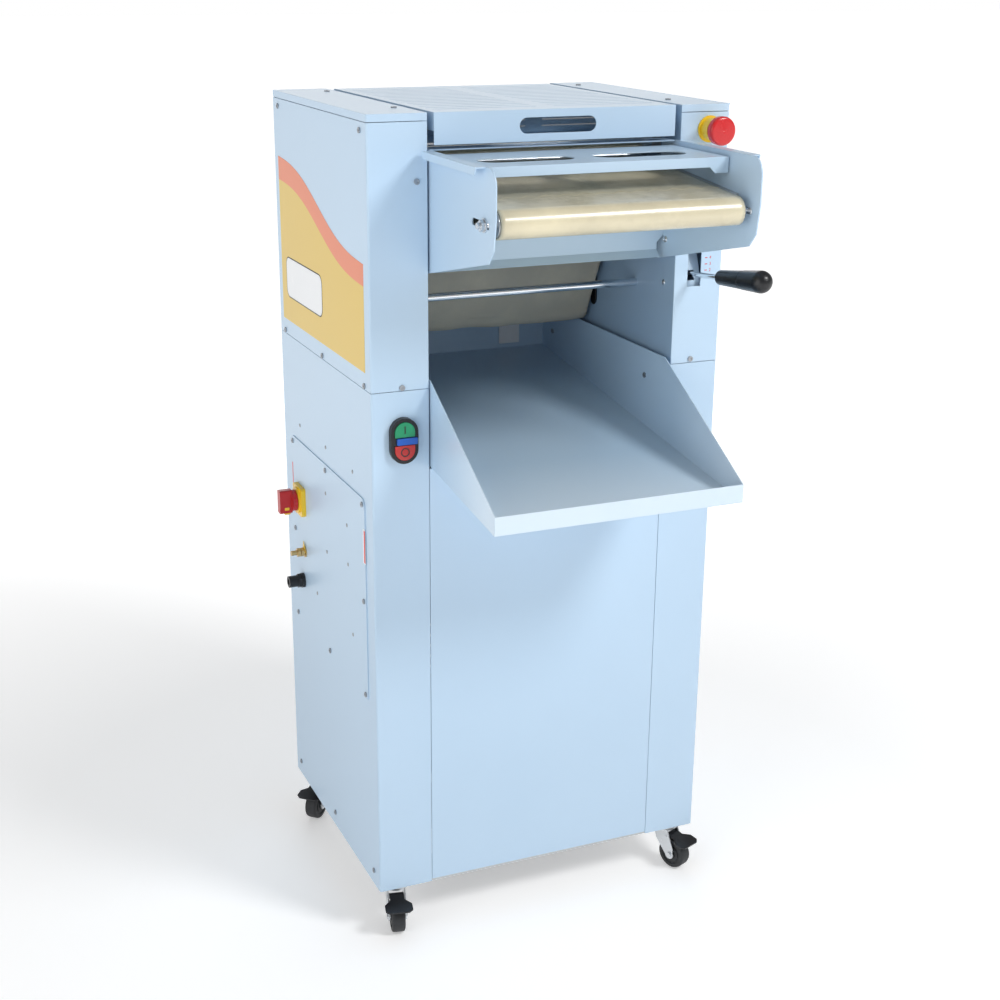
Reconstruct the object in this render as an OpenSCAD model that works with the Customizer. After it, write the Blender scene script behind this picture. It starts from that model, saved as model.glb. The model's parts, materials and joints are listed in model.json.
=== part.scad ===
// Bakery dough sheeter on castors: infeed belt, sheeting rollers, moulding belt and tray.
// The origin is on the floor, under the middle of the cabinet; the front faces -Y.

/* [Cabinet] */
// Width across both columns
cab_w = 540; // [500:5:700]
// Depth from the front face to the back panel
cab_d = 434; // [430:2:560]
// Height of the cabinet above its castors
body_h = 1148; // [1100:2:1500]
// Width of the left column
left_col_w = 84; // [80:1:110]
// Width of the right column
right_col_w = 77; // [77:1:110]
// Thickness of the painted sheet metal
skin_t = 1.5; // [1.2:0.1:2]
// Outside radius of a bent sheet corner
bend_r = 3; // [2.5:0.5:6]
// Gap left at a seam between two covers
seam_gap = 0.8; // [0.5:0.1:1.5]
// Height of the upper covers and their caps
upper_h = 369; // [360:1:420]
// Depth of the lip around a column cap
cap_lip = 10; // [8:1:14]
// Thickness of the two frame plates
plate_t = 6; // [5:0.5:8]

/* [Castors] */
// Diameter of a castor wheel
wheel_d = 50; // [40:1:60]
// Width of a castor wheel
wheel_w = 20; // [16:1:24]
// Height from the floor to the base
castor_h = 76; // [76:1:100]
// Distance from the swivel to the axle, seen from above
castor_trail = 24; // [18:1:28]
// Distance from the side of the cabinet to the swivel
castor_inset_x = 34; // [32:1:60]
// Distance from the front or back to the swivel
castor_inset_y = 30; // [28:1:60]

/* [Sheeting rollers] */
// Diameter of both sheeting rollers
roller_d = 66; // [55:1:80]
// Gap between the rollers at rest
roller_gap = 2; // [1.5:0.5:4]
// Diameter of the sheeting roller shafts
shaft_d = 20; // [16:1:22]
// Distance from the front face to the roller axes
roller_setback = 80; // [75:1:100]
// Free height above the upper roller, under the lid
headroom = 12.5; // [10:0.5:20]
// Teeth on each roller gear
gear_teeth = 17; // [15:1:21]

/* [Infeed] */
// Reach of the nose roller axis in front of the front face
infeed_reach = 188; // [160:1:220]
// Upward slope of the infeed belt
infeed_slope = 5.2; // [3:0.1:8]
// Diameter of the nose and drive rollers
belt_roller_d = 33; // [28:1:38]
// Thickness of the belts
belt_t = 2.2; // [1.5:0.1:3]
// Width of the infeed belt
belt_w = 344; // [300:1:350]
// Height of the cheek tops below the cabinet top
cheek_drop = 48; // [46:1:60]

/* [Moulding section] */
// Diameter of the moulding belt rollers
mould_roller_d = 50; // [40:1:54]
// Distance between the moulding roller axes
mould_length = 190; // [160:1:195]
// Lean of the moulding belt from the vertical
mould_lean = 28; // [20:1:32]

/* [Discharge tray] */
// Reach of the tray in front of the front face
tray_reach = 228; // [180:2:280]
// Slope of the tray floor
tray_slope = 7; // [4:0.5:9]
// Height of the front lip
tray_lip = 26; // [18:1:34]

/* [Controls] */
// Length of the gap lever, from its shaft to the end of the grip
lever_length = 311; // [280:1:340]
// Diameter of the lever rod
lever_rod_d = 8; // [7:1:10]
// Diameter of the stop mushroom
estop_d = 40; // [36:1:44]
// Width of the start and stop station
station_w = 40; // [34:1:46]
// Height of the start and stop station
station_h = 65; // [60:1:74]

/* [Lid] */
// Height of the lid's front lip
lid_lip = 42; // [36:1:44]
// Length of the hand slot
slot_l = 114; // [90:1:130]
// Height of the hand slot
slot_h = 21; // [18:1:24]
// Gap between the lid and each frame plate
lid_gap = 10; // [6:1:14]

/* [Hidden] */
$fn = 48;

// Radial clearance of a shaft that turns in its bore
run_fit = 0.05;
// Clearance between pieces that move past each other
move_gap = 0.5;
// Extra length of a cut past the face it starts from
over = 1;

left_x = -cab_w / 2;
right_x = cab_w / 2;
front_y = -cab_d / 2;
back_y = cab_d / 2;
base_z = castor_h;
top_z = base_z + body_h;
seam_z = top_z - upper_h;
open_l = left_x + left_col_w;
open_r = right_x - right_col_w;
open_mid = (open_l + open_r) / 2;
base_rim = 30;
plate_lx = open_l - plate_t;
plate_rx = open_r + plate_t;

// Sheeting rollers: the nip is the top of the lower roller
roller_r = roller_d / 2;
shaft_r = shaft_d / 2;
nip_z = top_z - skin_t - headroom - roller_d - roller_gap;
lower_z = nip_z - roller_r;
upper_z = nip_z + roller_gap + roller_r;
roller_y = front_y + roller_setback;
roller_lx = open_l + 15;
roller_rx = open_r - 19;
gear_module = (roller_d + roller_gap) / gear_teeth;
gear_w = 12;
gear_x = plate_rx + 13;
gear_thin = 0.35;
gear_phase = gear_teeth % 2 == 0 ? 180 / gear_teeth : 0;

// Infeed belt: its drive roller sits just in front of the lower sheeting roller
belt_roller_r = belt_roller_d / 2;
belt_gap = 0.3;
belt_in_r = belt_roller_r + belt_gap;
belt_out_r = belt_in_r + belt_t;
belt_drop = 2;
belt_clear = 1.5;
drive_z = nip_z + belt_drop - belt_out_r;
drive_centres = roller_r + belt_out_r + belt_clear;
drive_y = roller_y - sqrt(pow(drive_centres, 2) - pow(drive_z - lower_z, 2));
nose_y = front_y - infeed_reach;
nose_z = drive_z - (drive_y - nose_y) * tan(infeed_slope);
infeed_l = (drive_y - nose_y) / cos(infeed_slope);
belt_x0 = open_mid - belt_w / 2;
belt_x1 = open_mid + belt_w / 2;
drive_shaft_r = 8;

// Cheek plates beside the infeed belt
cheek_t = 2;
cheek_gap = 3;
cheek_lx = open_l + cheek_gap;
cheek_rx = open_r - cheek_gap;
cheek_top = top_z - cheek_drop;
cheek_front = nose_y - belt_out_r - 14;
cheek_back = front_y + 45;
cheek_flange_w = 14;
cheek_flange_h = 10;
cheek_flange_front = nose_y - 2;
cheek_flange_back = front_y - 8;
tension_l = 56;
tension_h = 9;
nose_axle_r = tension_h / 2 - 0.5;

// Guard over the infeed belt
guard_t = 1.5;
guard_top = cheek_top - 7;
guard_front = front_y - 142;
guard_back = front_y + 6;
guard_pin_y = front_y - 12;
guard_pin_z = guard_top - 4;
guard_pin_r = 3;
guard_side_gap = 2;
guard_lip = 13;
guard_tab = 21;
guard_tab_w = 28;
guard_hole_l = 136;
guard_hole_w = 46;
guard_hole_y = front_y - 78;

// Lid
lid_lx = open_l + lid_gap;
lid_rx = open_r - lid_gap;
lid_back = back_y - 10;
lid_pin_y = back_y - 19;
lid_pin_z = top_z - 10;
lid_pin_r = 4;
lid_flange = 24;
vent_pitch = 24;
vent_w = 4.5;
vent_front = front_y + 44;
vent_back = lid_pin_y - 24;

// Moulding belt: the front run leans back toward its foot
mould_roller_r = mould_roller_d / 2;
mould_in_r = mould_roller_r + belt_gap;
mould_out_r = mould_in_r + belt_t;
mould_top_y = roller_y + roller_r + 86;
mould_top_z = lower_z - 42;
mould_bottom_y = mould_top_y + mould_length * sin(mould_lean);
mould_bottom_z = mould_top_z - mould_length * cos(mould_lean);
mould_shaft_r = 8;
mould_belt_x0 = open_l + 8;
mould_belt_x1 = open_r - 8;
board_gap = 20;

// Tray
tray_top = seam_z + 11;
tray_lx = open_l + 2;
tray_rx = open_r - 8;
tray_front = front_y - tray_reach;
tray_back = back_y - 9;
tray_front_z = tray_top - 152;
tray_rise = (tray_back - tray_front) * tan(tray_slope);
tray_screw_ys = [front_y + 60, back_y - 50];

// Lower front panel, whose right seam is nearer the middle than the opening
panel_top = tray_front_z + tray_reach * tan(tray_slope) - 3;
panel_rx = open_r - 9;

// Gap adjuster: the lever turns a cross shaft with an eccentric at each end
gap_y = front_y + 118;
gap_z = seam_z + 101;
gap_shaft_r = 6;
ecc_offset = 10;
ecc_r = 18;
ecc_w = 6;
ecc_slack = 0.5;
ecc_side_slack = 1.6;
link_gap = 2;
link_w = 16;
link_lx = plate_lx - link_gap - ecc_w;
link_rx = plate_rx + link_gap;
block_w = 46;
block_h = 50;
lift_down = 0.8;
lift_up = 5;

// Lever: a straight arm up to the bend, then a rod to the grip
lever_x = open_r + 32;
bend_back = 93;
bend_up = 26;
rod_slope = 6.7;
grip_l = 120;
grip_small_d = 21;
grip_large_d = 31;
lever_slot_w = 22;
lever_slot_low = seam_z + 113;
lever_slot_high = seam_z + 216;

// Drive train in the left column
boss_t = 9;
boss_r = 17;
chain_w = 7;
chain_main_x = plate_lx - 12 - chain_w;
chain_second_x = chain_main_x - 4 - chain_w;
sprocket_main_r = 25;
sprocket_second_r = 18;
chain_t = 5.5;
motor_y = 0;
motor_z = base_z + 160;
motor_r = 62;
motor_shaft_r = 9;

// Controls
estop_x = open_r + 45;
estop_z = top_z - 34;
estop_stem_r = 6;
estop_gap = 7;
collar_r = 15.5;
collar_l = 20;
station_x = open_l - 39;
station_z = seam_z - 69;
station_d = 9;
label_half_h = 6;
button_inset = 5.5;
button_proud = 1.5;
button_depth = 6;
switch_y = front_y + 348;
switch_z = base_z + 521;
switch_size = 47;
switch_plate_t = 7;
switch_ring_t = 3;
switch_axle_r = 6;
knob_r = 17;
earth_y = front_y + 336;
earth_z = base_z + 436;
earth_r = 4;
gland_y = front_y + 350;
gland_z = base_z + 382;

// Side access cover on the left lower cover
access_front = front_y + 34;
access_back = front_y + 396;
access_low = base_z + 303;
access_high = base_z + 617;
access_r = 12;
access_rim = 16;
access_x = left_x - skin_t;

// Decal on the left upper cover
decal_t = 0.3;
decal_front = front_y + 22;
decal_back = front_y + 416;
decal_low = seam_z + 24;
decal_high_front = top_z - 196;
decal_high_back = top_z - 96;

screw_r = 4;
screw_h = 1.8;
socket_r = 1.9;

// Castors: name, side, end and swivel angle of each
wheel_r = wheel_d / 2;
castor_plate = 50;
castor_plate_t = 2.5;
race_r = 20;
race_t = 5;
kingpin_r = 4;
castor_axle_r = 4;
fork_t = 2;
fork_gap = wheel_w + 4;
fork_top = castor_h - castor_plate_t - race_t - 0.6;
castor_places = [[-1, -1, -12], [1, -1, 22], [-1, 1, -44], [1, 1, 28]];
brake_pin_r = 2.5;
brake_pin_y = -16;
brake_pin_z = castor_h - 21;
brake_reach = 42;

paint = [0.80, 0.87, 0.94];
steel = [0.75, 0.77, 0.79];
dark = [0.12, 0.13, 0.14];

// ---------- helpers ----------

// Extrudes a YZ outline from x0 to x1
module along_x(x0, x1) {
    translate([x0, 0, 0])
        rotate([90, 0, 90])
            linear_extrude(x1 - x0)
                children();
}

// Extrudes an XZ outline from y0 to y1
module along_y(y0, y1) {
    translate([0, y1, 0])
        rotate([90, 0, 0])
            linear_extrude(y1 - y0)
                children();
}

// Round bar along X
module rod_x(x0, x1, y, z, r) {
    translate([x0, y, z])
        rotate([0, 90, 0])
            cylinder(r = r, h = x1 - x0);
}

// Round bar along Y
module rod_y(y0, y1, x, z, r) {
    translate([x, y1, z])
        rotate([90, 0, 0])
            cylinder(r = r, h = y1 - y0);
}

// Box between two corners
module block(low, high) {
    translate(low)
        cube(high - low);
}

// Flat outline with round ends, centred, l long along its first axis
module oblong(l, w) {
    square([l - w, w], center = true);
    for (side = [-1, 1])
        translate([side * (l - w) / 2, 0])
            circle(d = w);
}

// Strip between two points, with round ends of radius r
module stadium(from, to, r) {
    run = to - from;
    translate(from)
        rotate(atan2(run[1], run[0])) {
            translate([0, -r])
                square([norm(run), 2 * r]);
            circle(r);
            translate([norm(run), 0])
                circle(r);
        }
}

// Rectangle with round corners, from a low corner to a high corner
module rounded_box(low, high, r) {
    size = high - low;
    translate(low) {
        translate([r, 0])
            square([size[0] - 2 * r, size[1]]);
        translate([0, r])
            square([size[0], size[1] - 2 * r]);
        for (x = [r, size[0] - r])
            for (y = [r, size[1] - r])
                translate([x, y])
                    circle(r);
    }
}

// Sheet bent round one vertical edge: w along X, d along Y, corner at the origin
module bent_corner(w, d, h, t) {
    linear_extrude(h) {
        translate([bend_r, 0])
            square([w - bend_r, t]);
        translate([0, bend_r])
            square([t, d - bend_r]);
        translate([bend_r, bend_r])
            intersection() {
                difference() {
                    circle(bend_r);
                    circle(bend_r - t);
                }
                translate([-bend_r, -bend_r])
                    square(bend_r);
            }
    }
}

// Bent corner at the left column, or mirrored at the right one
module column_sheet(side, w, z0, z1) {
    translate([side * cab_w / 2, front_y, z0])
        mirror([side > 0 ? 1 : 0, 0, 0])
            bent_corner(w, cab_d, z1 - z0, skin_t);
}

// Round-headed screw with a hex socket, its head pointing along -Y
module screw_head() {
    rotate([90, 0, 0])
        difference() {
            cylinder(r = screw_r, h = screw_h);
            translate([0, 0, screw_h - 1])
                cylinder(r = socket_r, h = 2, $fn = 6);
        }
}

// Points of one flank of an involute tooth, from the base circle to the tip
function involute(base_r, a) = base_r * [cos(a) + a * PI / 180 * sin(a), sin(a) - a * PI / 180 * cos(a)];
function spin(p, a) = [p[0] * cos(a) - p[1] * sin(a), p[0] * sin(a) + p[1] * cos(a)];
function flank_angle(base_r, r) = sqrt(pow(r / base_r, 2) - 1) * 180 / PI;
function gear_tooth(m, teeth, thin) =
    let (
        pitch_r = m * teeth / 2,
        base_r = pitch_r * cos(20),
        tip_r = pitch_r + m,
        at_pitch = flank_angle(base_r, pitch_r),
        lean = at_pitch - atan(at_pitch * PI / 180),
        half = 90 / teeth - thin / pitch_r * 180 / PI + lean,
        rise = [for (i = [0:5]) spin(involute(base_r, flank_angle(base_r, tip_r) * i / 5), -half)]
    )
    concat(rise, [for (i = [5:-1:0]) [rise[i][0], -rise[i][1]]]);

// Spur gear outline; thin is what each flank is cut back for backlash
module gear_outline(m, teeth, thin, start) {
    root_r = m * teeth / 2 - 1.25 * m;
    circle(root_r);
    for (i = [0:teeth - 1])
        rotate(start + i * 360 / teeth)
            polygon(concat([[root_r - m, -m]], gear_tooth(m, teeth, thin), [[root_r - m, m]]));
}

// Chain sprocket outline with blunt teeth
module sprocket_outline(r, teeth) {
    circle(r - 4);
    for (i = [0:teeth - 1])
        rotate(i * 360 / teeth)
            polygon([[r - 6, -3], [r, -1], [r, 1], [r - 6, 3]]);
}

// Disc on a shaft along X
module sprocket(x, y, z, r, teeth) {
    translate([x, y, z])
        rotate([90, 0, 90])
            linear_extrude(chain_w - 2)
                sprocket_outline(r, teeth);
}

// Moves to the frame of the infeed belt: Y runs up the belt from the nose roller
module infeed_frame() {
    translate([0, nose_y, nose_z])
        rotate([infeed_slope, 0, 0])
            children();
}

// ---------- cabinet ----------

module base_frame() {
    wall = 3;
    color(steel) {
        difference() {
            translate([0, 0, base_z])
                linear_extrude(base_rim)
                    rounded_box([left_x + skin_t, front_y + skin_t], [right_x - skin_t, back_y - skin_t], bend_r);
            block([left_x + skin_t + wall, front_y + skin_t + wall, base_z + wall],
                [right_x - skin_t - wall, back_y - skin_t - wall, base_z + base_rim + over]);
            block([open_l, front_y + 70, base_z - over], [open_r, motor_y - 70, base_z + wall + over]);
            block([open_l, motor_y + 70, base_z - over], [open_r, back_y - 70, base_z + wall + over]);
            for (place = castor_places)
                translate([place[0] * (cab_w / 2 - castor_inset_x), place[1] * (cab_d / 2 - castor_inset_y), base_z])
                    castor_holes(-over, wall + over);
        }
        difference() {
            block([-150, motor_y - 60, base_z + wall], [150, motor_y + 60, motor_z - motor_r]);
            block([-147, motor_y - 60 - over, base_z + wall - over],
                [147, motor_y + 60 + over, motor_z - motor_r - wall]);
        }
    }
}

module castor_holes(z0, z1) {
    hole_pitch = 36;
    for (x = [-1, 1])
        for (y = [-1, 1])
            translate([x * hole_pitch / 2, y * hole_pitch / 2, z0])
                cylinder(r = 2.75, h = z1 - z0);
}

module left_lower_cover() {
    color(paint)
        difference() {
            column_sheet(-1, left_col_w, base_z, seam_z - seam_gap / 2);
            along_x(left_x - over, left_x + skin_t + over)
                rounded_box([access_front + access_rim, access_low + access_rim],
                    [access_back - access_rim, access_high - access_rim], access_r);
            rod_y(front_y - over, front_y + skin_t + over, station_x, station_z, 11);
        }
}

module right_lower_cover() {
    color(paint) {
        column_sheet(1, right_col_w, base_z, seam_z - seam_gap / 2);
        block([panel_rx, front_y, base_z], [open_r, front_y + skin_t, panel_top]);
    }
}

module left_upper_cover() {
    color(paint)
        column_sheet(-1, left_col_w, seam_z + seam_gap / 2, top_z - cap_lip - seam_gap);
}

module right_upper_cover() {
    color(paint)
        difference() {
            column_sheet(1, right_col_w, seam_z + seam_gap / 2, top_z - cap_lip - seam_gap);
            block([lever_x - lever_slot_w / 2, front_y - over, lever_slot_low],
                [lever_x + lever_slot_w / 2, front_y + skin_t + over, lever_slot_high]);
            rod_y(front_y - over, front_y + skin_t + over, estop_x, estop_z, estop_stem_r + 2);
        }
}

module column_caps() {
    color(paint)
        for (side = [-1, 1]) {
            w = side < 0 ? left_col_w : right_col_w;
            column_sheet(side, w, top_z - cap_lip, top_z - skin_t);
            translate([side < 0 ? left_x : open_r, front_y, top_z - skin_t])
                cube([w, cab_d, skin_t]);
        }
}

module lower_front_panel() {
    color(paint)
        block([open_l + seam_gap, front_y, base_z + 4], [panel_rx - seam_gap, front_y + skin_t, panel_top]);
}

module back_panel() {
    vent_count = 8;
    vent_step = 20;
    color(paint)
        difference() {
            block([left_x + skin_t + seam_gap, back_y - skin_t, base_z],
                [right_x - skin_t - seam_gap, back_y, top_z - skin_t - seam_gap]);
            for (i = [0:vent_count - 1])
                translate([0, 0, motor_z - 70 + i * vent_step])
                    along_y(back_y - skin_t - over, back_y + over)
                        oblong(160, 6);
        }
}

// One frame plate with its bearing bosses; out is the side that the boss stands on
module frame_plate(x, out) {
    x0 = x;
    x1 = x + plate_t;
    boss_x0 = out < 0 ? x0 - boss_t : x1;
    difference() {
        union() {
            block([x0, front_y + skin_t, base_z + base_rim], [x1, back_y - skin_t, top_z - skin_t]);
            rod_x(boss_x0, boss_x0 + boss_t, roller_y, lower_z, boss_r);
            rod_x(boss_x0, boss_x0 + boss_t, drive_y, drive_z, boss_r - 2);
            rod_x(boss_x0, boss_x0 + boss_t, mould_top_y, mould_top_z, boss_r);
            rod_x(boss_x0, boss_x0 + boss_t, mould_bottom_y, mould_bottom_z, boss_r);
        }
        rod_x(x0 - 20, x1 + 20, roller_y, lower_z, shaft_r + run_fit);
        rod_x(x0 - 20, x1 + 20, drive_y, drive_z, drive_shaft_r + run_fit);
        rod_x(x0 - 20, x1 + 20, mould_top_y, mould_top_z, mould_shaft_r + run_fit);
        rod_x(x0 - 20, x1 + 20, mould_bottom_y, mould_bottom_z, mould_shaft_r + run_fit);
        rod_x(x0 - over, x1 + over, gap_y, gap_z, gap_shaft_r + run_fit);
        rod_x(x0 - over, x1 + over, lid_pin_y, lid_pin_z, lid_pin_r + run_fit);
        block([x0 - over, roller_y - block_w / 2 - move_gap, upper_z - block_h / 2 - lift_down - move_gap],
            [x1 + over, roller_y + block_w / 2 + move_gap, upper_z + block_h / 2 + lift_up + move_gap]);
        rod_x(x0 - over, x1 + over, motor_y, motor_z, motor_shaft_r + 5);
        along_x(x0 - over, x1 + over)
            translate([mould_bottom_y - 38, mould_bottom_z + 20])
                rotate(90)
                    oblong(40, 12);
    }
}

module left_frame_plate() {
    color(paint)
        frame_plate(plate_lx, -1);
}

module right_frame_plate() {
    color(paint)
        frame_plate(open_r, 1);
}

module frame_tie_bars() {
    bar_r = 8;
    color(steel)
        for (place = [[front_y + 40, base_z + 480], [back_y - 40, base_z + 480],
            [back_y - 40, top_z - 60], [back_y - 40, seam_z - 90]])
            rod_x(open_l, open_r, place[0], place[1], bar_r);
}

module side_access_cover() {
    color(paint)
        difference() {
            along_x(access_x, left_x)
                rounded_box([access_front, access_low], [access_back, access_high], access_r);
            rod_x(access_x - over, left_x + over, switch_y, switch_z, switch_axle_r + 4);
            rod_x(access_x - over, left_x + over, gland_y, gland_z, 8);
            rod_x(access_x - over, left_x + over, earth_y, earth_z, earth_r);
        }
}

// Screws: front and side covers, access cover, caps and the tray
module cover_screws() {
    side_rows = [[seam_z + 5, [26, 217, 408]], [top_z - 22, [26, 408]], [base_z + 24, [26, 217, 408]]];
    access_mid_y = (access_front + access_back) / 2;
    access_mid_z = (access_low + access_high) / 2;
    color(steel) {
        for (place = [[open_l - 15, top_z - 88], [open_l - 39, seam_z + 4.6], [open_r + 32, seam_z + 5.6]])
            translate([place[0], front_y, place[1]])
                screw_head();
        for (side = [-1, 1])
            for (row = side_rows)
                for (y = row[1])
                    translate([side * cab_w / 2, front_y + y, row[0]])
                        rotate([0, 0, side * 90])
                            screw_head();
        for (y = [access_front + 9, access_mid_y, access_back - 9])
            for (z = [access_low + 9, access_mid_z, access_high - 9])
                if (y != access_mid_y || z != access_mid_z)
                    translate([access_x, y, z])
                        rotate([0, 0, -90])
                            screw_head();
        for (x = [open_l - 17, open_r + 22])
            for (y = [front_y + 80, back_y - 60])
                translate([x, y, top_z])
                    rotate([-90, 0, 0])
                        screw_head();
        for (y = tray_screw_ys)
            for (side = [-1, 1])
                translate([side < 0 ? tray_lx + skin_t : tray_rx - skin_t, y, tray_top - 40])
                    rotate([0, 0, side < 0 ? 90 : -90])
                        screw_head();
    }
}

module discharge_tray() {
    floor_back = tray_front_z + tray_rise;
    column_y = front_y + 2;
    side = [[tray_front, tray_front_z], [tray_front, tray_front_z + tray_lip],
        [column_y, tray_top], [tray_back, tray_top], [tray_back, floor_back]];
    sheet = [[tray_front, tray_front_z], [tray_front, tray_front_z + skin_t],
        [tray_back, floor_back + skin_t], [tray_back, floor_back]];
    color(paint) {
        for (x = [tray_lx, tray_rx - skin_t])
            along_x(x, x + skin_t)
                polygon(side);
        along_x(tray_lx, tray_rx)
            polygon(sheet);
        block([tray_lx, tray_front, tray_front_z], [tray_rx, tray_front + skin_t, tray_front_z + tray_lip]);
        block([tray_lx, tray_back - skin_t, floor_back], [tray_rx, tray_back, tray_top]);
        for (y = tray_screw_ys) {
            rod_x(open_l, tray_lx, y, tray_top - 40, 6);
            rod_x(tray_rx, open_r, y, tray_top - 40, 6);
        }
    }
}

module belt_apron() {
    apron_y = front_y + 30;
    apron_low = cheek_top - 156;
    apron_high = drive_z - belt_out_r - 5;
    lip = 10;
    x0 = cheek_lx + cheek_t;
    x1 = cheek_rx - cheek_t;
    color(paint) {
        along_y(apron_y, apron_y + skin_t)
            polygon([[x0 + lip, apron_low], [x1 - lip, apron_low], [x1 - lip, apron_low + lip],
                [x1, apron_low + 2 * lip], [x1, apron_high], [x0, apron_high], [x0, apron_low + 2 * lip],
                [x0 + lip, apron_low + lip]]);
        along_x(x0 + lip, x1 - lip)
            polygon([[apron_y, apron_low], [apron_y + skin_t, apron_low],
                [apron_y - lip + skin_t, apron_low - lip], [apron_y - lip, apron_low - lip]]);
    }
}

// ---------- infeed ----------

// Side outline of a cheek, from the rear bottom round the front to the rear top
module cheek_outline() {
    corner_r = 22;
    foot_y = cheek_front + 22;
    foot_z = cheek_top - 117;
    difference() {
        union() {
            polygon([[cheek_back, cheek_top - 172], [foot_y, foot_z], [cheek_front + 6, foot_z + 18],
                [cheek_front, cheek_top - 60], [cheek_front, cheek_top - corner_r],
                [cheek_front + corner_r, cheek_top - corner_r], [cheek_front + corner_r, cheek_top],
                [cheek_back, cheek_top]]);
            translate([cheek_front + corner_r, cheek_top - corner_r])
                circle(corner_r);
        }
        translate([nose_y - 5 + tension_l / 2 - tension_h, nose_z])
            oblong(tension_l, tension_h);
        translate([drive_y, drive_z])
            circle(drive_shaft_r + 4);
        translate([guard_pin_y, guard_pin_z])
            circle(guard_pin_r + run_fit);
    }
}

module infeed_cheeks() {
    color(paint)
        for (side = [-1, 1]) {
            inner = side < 0 ? cheek_lx : cheek_rx - cheek_t;
            outer = side < 0 ? cheek_lx : cheek_rx;
            along_x(inner, inner + cheek_t)
                cheek_outline();
            along_x(side < 0 ? outer - cheek_flange_w : outer, side < 0 ? outer : outer + cheek_flange_w)
                polygon([[cheek_flange_front, cheek_top - cheek_t], [cheek_flange_front, cheek_top],
                    [cheek_flange_back, cheek_top], [cheek_flange_back, cheek_top - cheek_t]]);
            edge = outer + side * cheek_flange_w;
            along_x(side < 0 ? edge : edge - cheek_t, side < 0 ? edge + cheek_t : edge)
                polygon([[cheek_flange_front + 4, cheek_top - cheek_flange_h],
                    [cheek_flange_front, cheek_top - cheek_t], [cheek_flange_back, cheek_top - cheek_t],
                    [cheek_flange_back - 4, cheek_top - cheek_flange_h]]);
        }
    // Cross plate between the guard and the upper roller
    color(paint)
        block([cheek_lx, front_y + 8, cheek_top - cheek_t], [cheek_rx, cheek_back - 6, cheek_top]);
    color(steel)
        for (side = [-1, 1])
            for (place = [[front_y + 22, cheek_top - 141], [front_y + 34, cheek_top - 20]])
                rod_x(side < 0 ? open_l : cheek_rx, side < 0 ? cheek_lx : open_r, place[0], place[1], 7);
}

module infeed_bed() {
    bed_t = 2;
    bed_high = belt_in_r;
    ends = belt_out_r + 3;
    color(steel)
        infeed_frame()
            block([cheek_lx + cheek_t, ends, bed_high - bed_t], [cheek_rx - cheek_t, infeed_l - ends, bed_high]);
}

module infeed_belt() {
    color([0.87, 0.84, 0.70])
        infeed_frame()
            along_x(belt_x0, belt_x1)
                difference() {
                    stadium([0, 0], [infeed_l, 0], belt_out_r);
                    stadium([0, 0], [infeed_l, 0], belt_in_r);
                }
}

// Fixed axle of the nose roller with a washer and a nut outside each cheek
module tension_bolts() {
    washer_r = 9;
    washer_t = 2;
    nut_r = 7.5;
    nut_t = 5;
    tip = 4;
    color(steel)
        for (side = [-1, 1]) {
            face = side < 0 ? cheek_lx : cheek_rx;
            washer_x = side < 0 ? face - washer_t : face;
            nut_x = side < 0 ? face - washer_t - nut_t : face + washer_t;
            end_x = side < 0 ? face - washer_t - nut_t - tip : face + washer_t + nut_t + tip;
            rod_x(min(end_x, open_mid), max(end_x, open_mid), nose_y, nose_z, nose_axle_r);
            rod_x(washer_x, washer_x + washer_t, nose_y, nose_z, washer_r);
            translate([nut_x, nose_y, nose_z])
                rotate([0, 90, 0])
                    cylinder(r = nut_r, h = nut_t, $fn = 6);
        }
}

// ---------- sheeting rollers ----------

module upper_roller() {
    color(steel) {
        rod_x(roller_lx, roller_rx, roller_y, upper_z, roller_r);
        rod_x(plate_lx - link_gap - ecc_w - 3, gear_x + gear_w + 3, roller_y, upper_z, shaft_r);
        translate([gear_x, roller_y, upper_z])
            rotate([90, 0, 90])
                linear_extrude(gear_w)
                    gear_outline(gear_module, gear_teeth, gear_thin, 90);
    }
}

module lower_roller() {
    color(steel) {
        rod_x(roller_lx, roller_rx, roller_y, lower_z, roller_r);
        rod_x(chain_second_x - 3, gear_x + gear_w + 3, roller_y, lower_z, shaft_r);
        translate([gear_x, roller_y, lower_z])
            rotate([90, 0, 90])
                linear_extrude(gear_w)
                    gear_outline(gear_module, gear_teeth, gear_thin, 90 + gear_phase);
        sprocket(chain_main_x + 1, roller_y, lower_z, sprocket_main_r, 14);
        sprocket(chain_second_x + 1, roller_y, lower_z, sprocket_second_r, 11);
    }
}

// Bearing block and lift link on each side, raised by the eccentrics
module roller_carriage() {
    ring_r = ecc_r + 7;
    ecc_y = gap_y - ecc_offset;
    color(steel)
        for (side = [-1, 1]) {
            block_x0 = side < 0 ? link_lx : open_r;
            block_x1 = side < 0 ? open_l : link_rx + ecc_w;
            link_x0 = side < 0 ? link_lx : link_rx;
            difference() {
                union() {
                    block([block_x0, roller_y - block_w / 2, upper_z - block_h / 2],
                        [block_x1, roller_y + block_w / 2, upper_z + block_h / 2]);
                    block([link_x0, roller_y + block_w / 2 - over, upper_z - block_h / 2],
                        [link_x0 + ecc_w, ecc_y + link_w / 2, upper_z + block_h / 2]);
                    block([link_x0, ecc_y - link_w / 2, gap_z + ecc_r],
                        [link_x0 + ecc_w, ecc_y + link_w / 2, upper_z - block_h / 2 + over]);
                    rod_x(link_x0, link_x0 + ecc_w, ecc_y, gap_z, ring_r);
                }
                rod_x(block_x0 - over, block_x1 + over, roller_y, upper_z, shaft_r + run_fit);
                along_x(link_x0 - over, link_x0 + ecc_w + over)
                    stadium([ecc_y, gap_z], [ecc_y + ecc_side_slack, gap_z], ecc_r + ecc_slack);
            }
        }
}

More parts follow.
